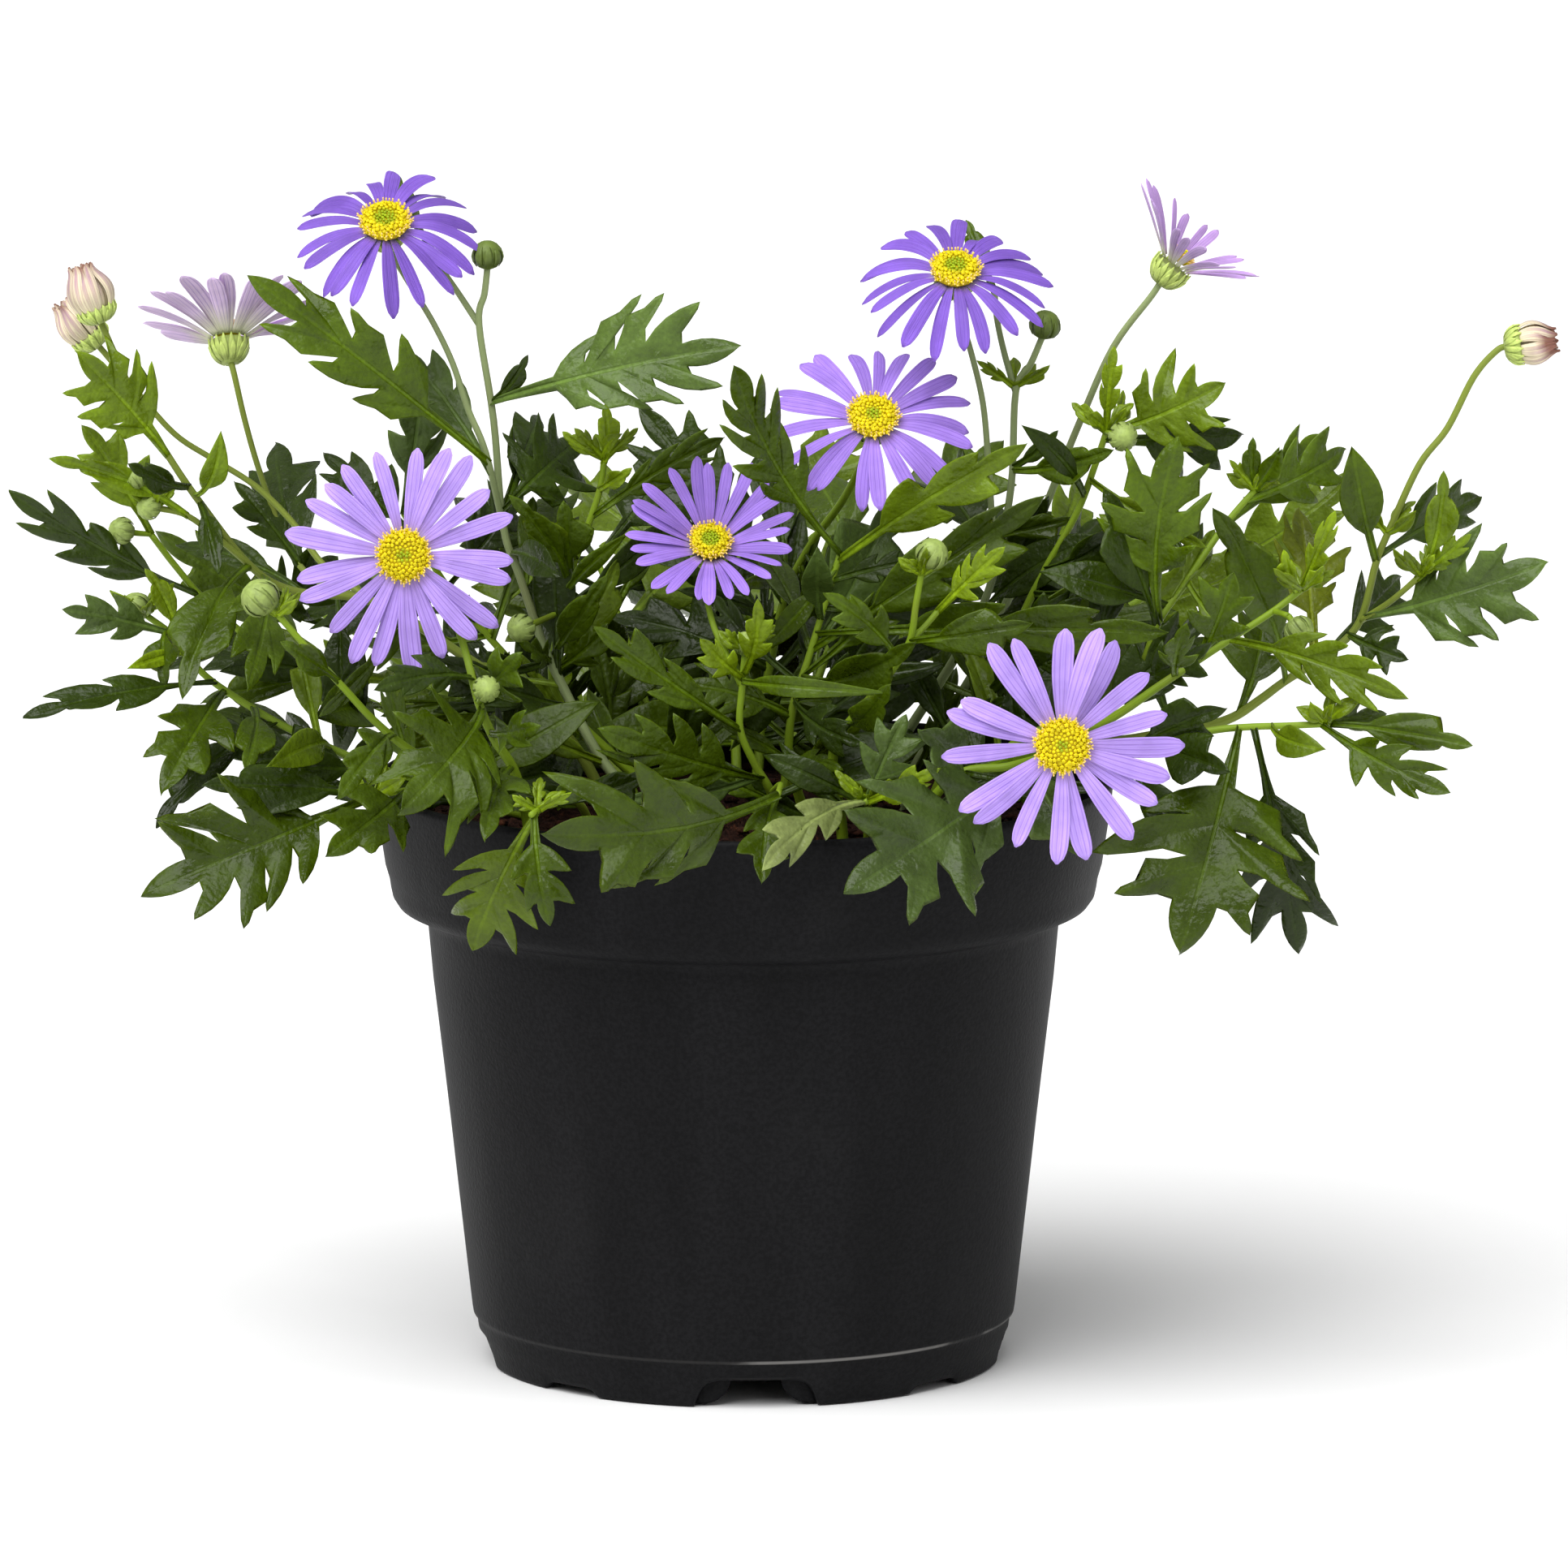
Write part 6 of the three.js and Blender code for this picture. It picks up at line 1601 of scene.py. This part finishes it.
def pot_finish():
    """Moulded plastic: near black, fine grain, faint upright flow marks, a little dust and a painted
    highlight on the foot ring's top edge.
    """
    made = Finish("moulded_plastic", 0.55, 0.07)
    grain = made.noise(1500.0)
    upright = made.node("ShaderNodeMapping", {"Vector": made.place(), "Scale": (70, 70, 9)})
    flow = made.noise(1.0, 2.0, upright)
    base = made.shaded(made.attribute("tint"), made.band(flow, 0.3, 0.7, 0.85, 1.2))
    base = made.shaded(base, made.band(grain, 0.3, 0.7, 0.78, 1.28))
    height = made.node("ShaderNodeSeparateXYZ", {"Vector": made.place()}, "Z")
    # Painted highlight: a broken pale line along the foot ring's top edge
    away = made.math("ABSOLUTE", made.math("SUBTRACT", height, EDGE_HIGHLIGHT_LEVEL * MM))
    ridge = made.band(away, 0.0001, 0.0004, 1.0, 0.0)
    edge_highlight = made.math("MULTIPLY", ridge, made.band(made.noise(60.0, 4.0), 0.48, 0.58, 0.05, 0.5))
    dust = made.band(made.noise(36.0, 4.0), 0.55, 0.8, 0.0, 0.008)
    base = made.mix(made.math("MAXIMUM", edge_highlight, dust), base, screen(POT_DUST_AND_HIGHLIGHT))
    return made.done(base, grain, 0.5, 0.0002, made.band(flow, 0.3, 0.7, 0.48, 0.56))


def peat_finish():
    """Peat: dark red-brown tint with light and dark fibres."""
    made = Finish("damp_peat", 0.95, 0.15)
    grain = made.noise(900.0, 6.0)
    base = made.shaded(made.attribute("tint"), made.band(grain, 0.3, 0.7, 0.45, 1.5))
    base = made.mix(made.band(made.noise(420.0), 0.64, 0.7, 0.0, 0.7), base, screen(PEAT_FIBRE))
    return made.done(base, grain, 1.0, 0.0012)


def finish(name):
    """The named material, made the first time that it is asked for."""
    makers = {
        "leaf_blade": leaf_finish,
        "stem_skin": stem_finish,
        "petal_skin": lambda: petal_finish("petal_skin", 0.55, 0.32, PETAL_GROOVE_SHADE),
        "closed_petal_skin": lambda: petal_finish("closed_petal_skin", 0.6, 0.3, CLOSED_GROOVE_SHADE),
        "floret_skin": lambda: grain_finish("floret_skin", 0.6, 1800.0, 0.88, 1.12, 0.0001, 0.1, 0.3),
        "cup_skin": lambda: grain_finish("cup_skin", 0.5, 1100.0, 0.86, 1.14, 0.0002, 0.08, 0.35),
        "moulded_plastic": pot_finish,
        "damp_peat": peat_finish,
    }
    return bpy.data.materials.get(name) or makers[name]()


# Operators

class DAISY_OT_pot(bpy.types.Operator):
    """Makes the pot: its turned wall with collar and notched foot ring, and its drained floor"""
    bl_idname = "daisy.pot"
    bl_label = "Pot"

    def execute(self, context):
        skin = Skin()
        pot_shell(skin, finish("moulded_plastic"))
        notch_cheeks(skin, finish("moulded_plastic"))
        pot_floor(skin, finish("moulded_plastic"))
        skin.piece("nursery_pot", ["pot"], "pot")
        return {"FINISHED"}


class DAISY_OT_peat(bpy.types.Operator):
    """Makes the peat with its lumps and loose crumbs"""
    bl_idname = "daisy.peat"
    bl_label = "Peat"

    def execute(self, context):
        skin = Skin()
        rng = np.random.default_rng(PEAT_SEED)
        peat_body(skin, finish("damp_peat"), rng)
        crumbs(skin, finish("damp_peat"), rng)
        skin.piece("peat_fill", ["soil"], "soil")
        return {"FINISHED"}


class DAISY_OT_shoots(bpy.types.Operator):
    """Makes every shoot: stems, leaves, buds, flower cups, young tufts and the leaves that fill the bush"""
    bl_idname = "daisy.shoots"
    bl_label = "Shoots"

    def execute(self, context):
        finishes = [finish(name) for name in ("leaf_blade", "stem_skin", "cup_skin")]
        leaf_skin, stem_skin, _ = finishes
        radii = (sizes().stem_radius / MM, sizes().stalk_radius / MM)
        skins, feet = {}, {}
        for order, (name, shoot) in enumerate(SHOOTS.items()):
            skins[name] = Skin()
            rng = np.random.default_rng(SHOOT_SEED + order)
            feet[name] = self.front_shoot(skins[name], shoot, radii, finishes, rng)
        source = random_from(BACK_SEED)
        for number, (name, places) in enumerate(back_routes().items(), 1):
            rng = np.random.default_rng(BACK_SHOOT_SEED + number)
            skins[name] = Skin()
            stem(skins[name], places, radii, colour("stem_olive"), stem_skin)
            feet[name] = foot_places(places)
            back_leaves(skins[name], number, feet[name], source, leaf_skin, rng)
        self.tufts(skins, feet, leaf_skin)
        self.filling(skins, feet, leaf_skin)
        for name, skin in skins.items():
            skin.piece(f"grown_{name}", [name], "greenery")
        return {"FINISHED"}

    def front_shoot(self, skin, shoot, radii, finishes, rng):
        """Grows one shoot that the front shows, and gives the places on its stems where a leaf may stand."""
        leaf_skin, stem_skin, cup_skin = finishes
        tint = colour(STEM_TONES[shoot["stem"]])
        routes = [np.vstack([root_places(shoot["root"]), sight(shoot["path"])])]
        routes += [sight(branch) for branch in shoot["branches"]]
        found = []
        for number, places in enumerate(routes):
            above = flower_above(places[-1])
            if above:
                neck, centre, axis, height = above
                places = np.vstack([places, neck])
                flower_cup(skin, centre, axis, height, colour("cup"), cup_skin, rng)
            low = radii[0] if number == 0 else radii[1]
            found.append(stem(skin, places, (low, radii[1]), tint, stem_skin))
            found.append(foot_places(places))
        feet = np.vstack(found)
        for across, height, depth, radius in shoot["buds"]:
            centre = sight((across, height, depth))
            foot = feet[np.argmin(np.linalg.norm(feet - centre, axis=1))]
            tone = colour("bud_high" if centre[2] > HIGH_BUD else "bud")
            bud(skin, centre, unit(centre - foot), radius, tone, cup_skin, rng)
            sag = (foot + centre) / 2 + (0, 0, -0.1)
            stem(skin, [foot, sag, centre], (0.5, 0.55), tint, stem_skin, 6)
        for row in shoot["leaves"]:
            foot = foot_on(feet, row[0], row[1])
            tone = colour(LEAF_TONES[row[9]]) * rng.uniform(0.86, 1.14)
            tone = tone * np.interp(row[3], TONE_HEIGHTS, TONE_SHARES)
            leaf(skin, foot, sight(row[2:5]), *row[5:9], tone, leaf_skin, rng)
        return feet

    def tufts(self, skins, feet, material):
        """Sets each tuft on the stem place nearest to it."""
        rng = np.random.default_rng(TUFT_SEED)
        for across, height, depth, count, length in TUFTS:
            middle = sight((across, height, depth))
            name = min(feet, key=lambda each: np.linalg.norm(feet[each] - middle, axis=1).min())
            foot = feet[name][np.argmin(np.linalg.norm(feet[name] - middle, axis=1))]
            tuft(skins[name], foot, count, length, material, rng)

    def filling(self, skins, feet, material):
        """Adds leaves on stems chosen by chance until the wanted number has found room."""
        rng = np.random.default_rng(FILLING_SEED)
        names = sorted(skins)
        wanted = sizes().filling_leaves
        added = 0
        for _ in range(wanted * FILLING_TRIES):
            if added >= wanted:
                break
            name = names[rng.integers(len(names))]
            found = filling_leaf(feet[name], rng)
            if found:
                foot, tip, half, pairs, roll = found
                tone = colour(LEAF_TONES[int(rng.choice(FILLING_TONES))]) * rng.uniform(0.75, 1.05)
                leaf(skins[name], foot, tip, half, pairs, roll, 0.08, tone, material, rng)
                added += 1
        if added < wanted:
            raise RuntimeError(f"only {added} of {wanted} filling leaves found room")


class DAISY_OT_blooms(bpy.types.Operator):
    """Makes the petals of the open blooms"""
    bl_idname = "daisy.blooms"
    bl_label = "Petals"

    def execute(self, context):
        for name, bloom in BLOOMS.items():
            skin = Skin()
            slim = SLIM_PETALS.get(name, 1.0)
            petals(skin, *open_place(bloom), *bloom[6:10], slim, colour(bloom[10]), finish("petal_skin"))
            skin.piece(f"grown_{name}_petals", [f"{name}_petals"], "petals")
        return {"FINISHED"}


class DAISY_OT_discs(bpy.types.Operator):
    """Makes the yellow discs of the open blooms"""
    bl_idname = "daisy.discs"
    bl_label = "Discs"

    def execute(self, context):
        for order, (name, bloom) in enumerate(BLOOMS.items()):
            skin = Skin()
            disc(skin, *open_place(bloom), *bloom[11:13], finish("floret_skin"), DISC_SEED + order)
            skin.piece(f"grown_{name}_disc", [f"{name}_disc"], "disc")
        return {"FINISHED"}


class DAISY_OT_closed_blooms(bpy.types.Operator):
    """Makes the closed blooms with their withered tips"""
    bl_idname = "daisy.closed_blooms"
    bl_label = "Closed blooms"

    def execute(self, context):
        for order, (name, bloom) in enumerate(CLOSED_BLOOMS.items()):
            skin = Skin()
            _, axis, centre = closed_place(bloom)
            length, radius, withered = bloom[6:9]
            closed_bloom(skin, centre, axis, length - CLOSED_CUP_HEIGHT, radius, withered,
                         finish("closed_petal_skin"), CLOSED_SEED + order)
            skin.piece(f"grown_{name}_petals", [f"{name}_petals"], "closed_petals")
        return {"FINISHED"}


class DAISY_OT_stage(bpy.types.Operator):
    """Makes the floor, the soft lights and the camera at the photograph's angle"""
    bl_idname = "daisy.stage"
    bl_label = "Stage"

    def execute(self, context):
        scene = context.scene
        ways = [(-1, -1), (1, -1), (1, 1), (-1, 1)]
        corners = [(x * FLOOR_SIDE, y * FLOOR_SIDE, FLOOR_LEVEL) for x, y in ways]
        mesh = bpy.data.meshes.new("studio_floor")
        mesh.from_pydata(corners, [], [(0, 1, 2, 3)])
        paint = Finish("pale_floor", 0.9, 0.1)
        paint.shader.inputs["Base Color"].default_value = FLOOR_SHADE
        mesh.materials.append(paint.material)
        floor = bpy.data.objects.new("studio_floor", mesh)
        scene.collection.objects.link(floor)
        world = bpy.data.worlds.new("studio_light")
        world.use_nodes = True
        world.node_tree.nodes["Background"].inputs["Color"].default_value = (1, 1, 1, 1)
        world.node_tree.nodes["Background"].inputs["Strength"].default_value = SKY
        scene.world = world
        target = Vector(LOOK_AT * MM + POT_AXIS)
        for name, place, spread, strength in LAMPS:
            self.lamp(scene, name, place, spread, strength, target)
        lens = bpy.data.cameras.new("photo_camera")
        lens.sensor_width = SENSOR
        distance = float(np.linalg.norm(EYE - LOOK_AT))
        lens.lens = SENSOR * distance / FRAME_WIDTH
        lens.clip_end = 30.0
        camera = bpy.data.objects.new("photo_camera", lens)
        camera.location = Vector(EYE * MM + POT_AXIS)
        camera.rotation_euler = (target - camera.location).to_track_quat("-Z", "Y").to_euler()
        scene.collection.objects.link(camera)
        scene.camera = camera
        scene.view_settings.view_transform = "Standard"
        return {"FINISHED"}

    def lamp(self, scene, name, place, spread, strength, target):
        """Distant soft light: spread is the angle in degrees that its glowing disc fills."""
        light = bpy.data.lights.new(name, "SUN")
        light.angle = math.radians(spread)
        light.energy = strength
        holder = bpy.data.objects.new(name, light)
        holder.location = Vector(place)
        holder.rotation_euler = (target - holder.location).to_track_quat("-Z", "Y").to_euler()
        scene.collection.objects.link(holder)


class DAISY_PT_panel(bpy.types.Panel):
    """Lists the sizes, the colours and the pieces"""
    bl_idname = "DAISY_PT_panel"
    bl_label = "Potted daisy"
    bl_space_type = "VIEW_3D"
    bl_region_type = "UI"
    bl_category = "Daisy"

    def draw(self, context):
        layout = self.layout
        for group in (context.scene.daisy_sizes, context.scene.daisy_colours):
            for key in group.__annotations__:
                layout.prop(group, key)
        for operator in OPERATORS:
            layout.operator(operator.bl_idname)


OPERATORS = (DAISY_OT_stage, DAISY_OT_pot, DAISY_OT_peat, DAISY_OT_shoots, DAISY_OT_blooms, DAISY_OT_discs,
             DAISY_OT_closed_blooms)
CLASSES = (DaisySizes, DaisyColours, *OPERATORS, DAISY_PT_panel)


def register():
    for each in CLASSES:
        bpy.utils.register_class(each)
    bpy.types.Scene.daisy_sizes = PointerProperty(type=DaisySizes)
    bpy.types.Scene.daisy_colours = PointerProperty(type=DaisyColours)


def unregister():
    del bpy.types.Scene.daisy_colours
    del bpy.types.Scene.daisy_sizes
    for each in reversed(CLASSES):
        bpy.utils.unregister_class(each)


def main():
    register()
    bpy.ops.daisy.stage()
    bpy.ops.daisy.pot()
    bpy.ops.daisy.peat()
    bpy.ops.daisy.shoots()
    bpy.ops.daisy.blooms()
    bpy.ops.daisy.discs()
    bpy.ops.daisy.closed_blooms()
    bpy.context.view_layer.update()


if __name__ == "__main__":
    main()
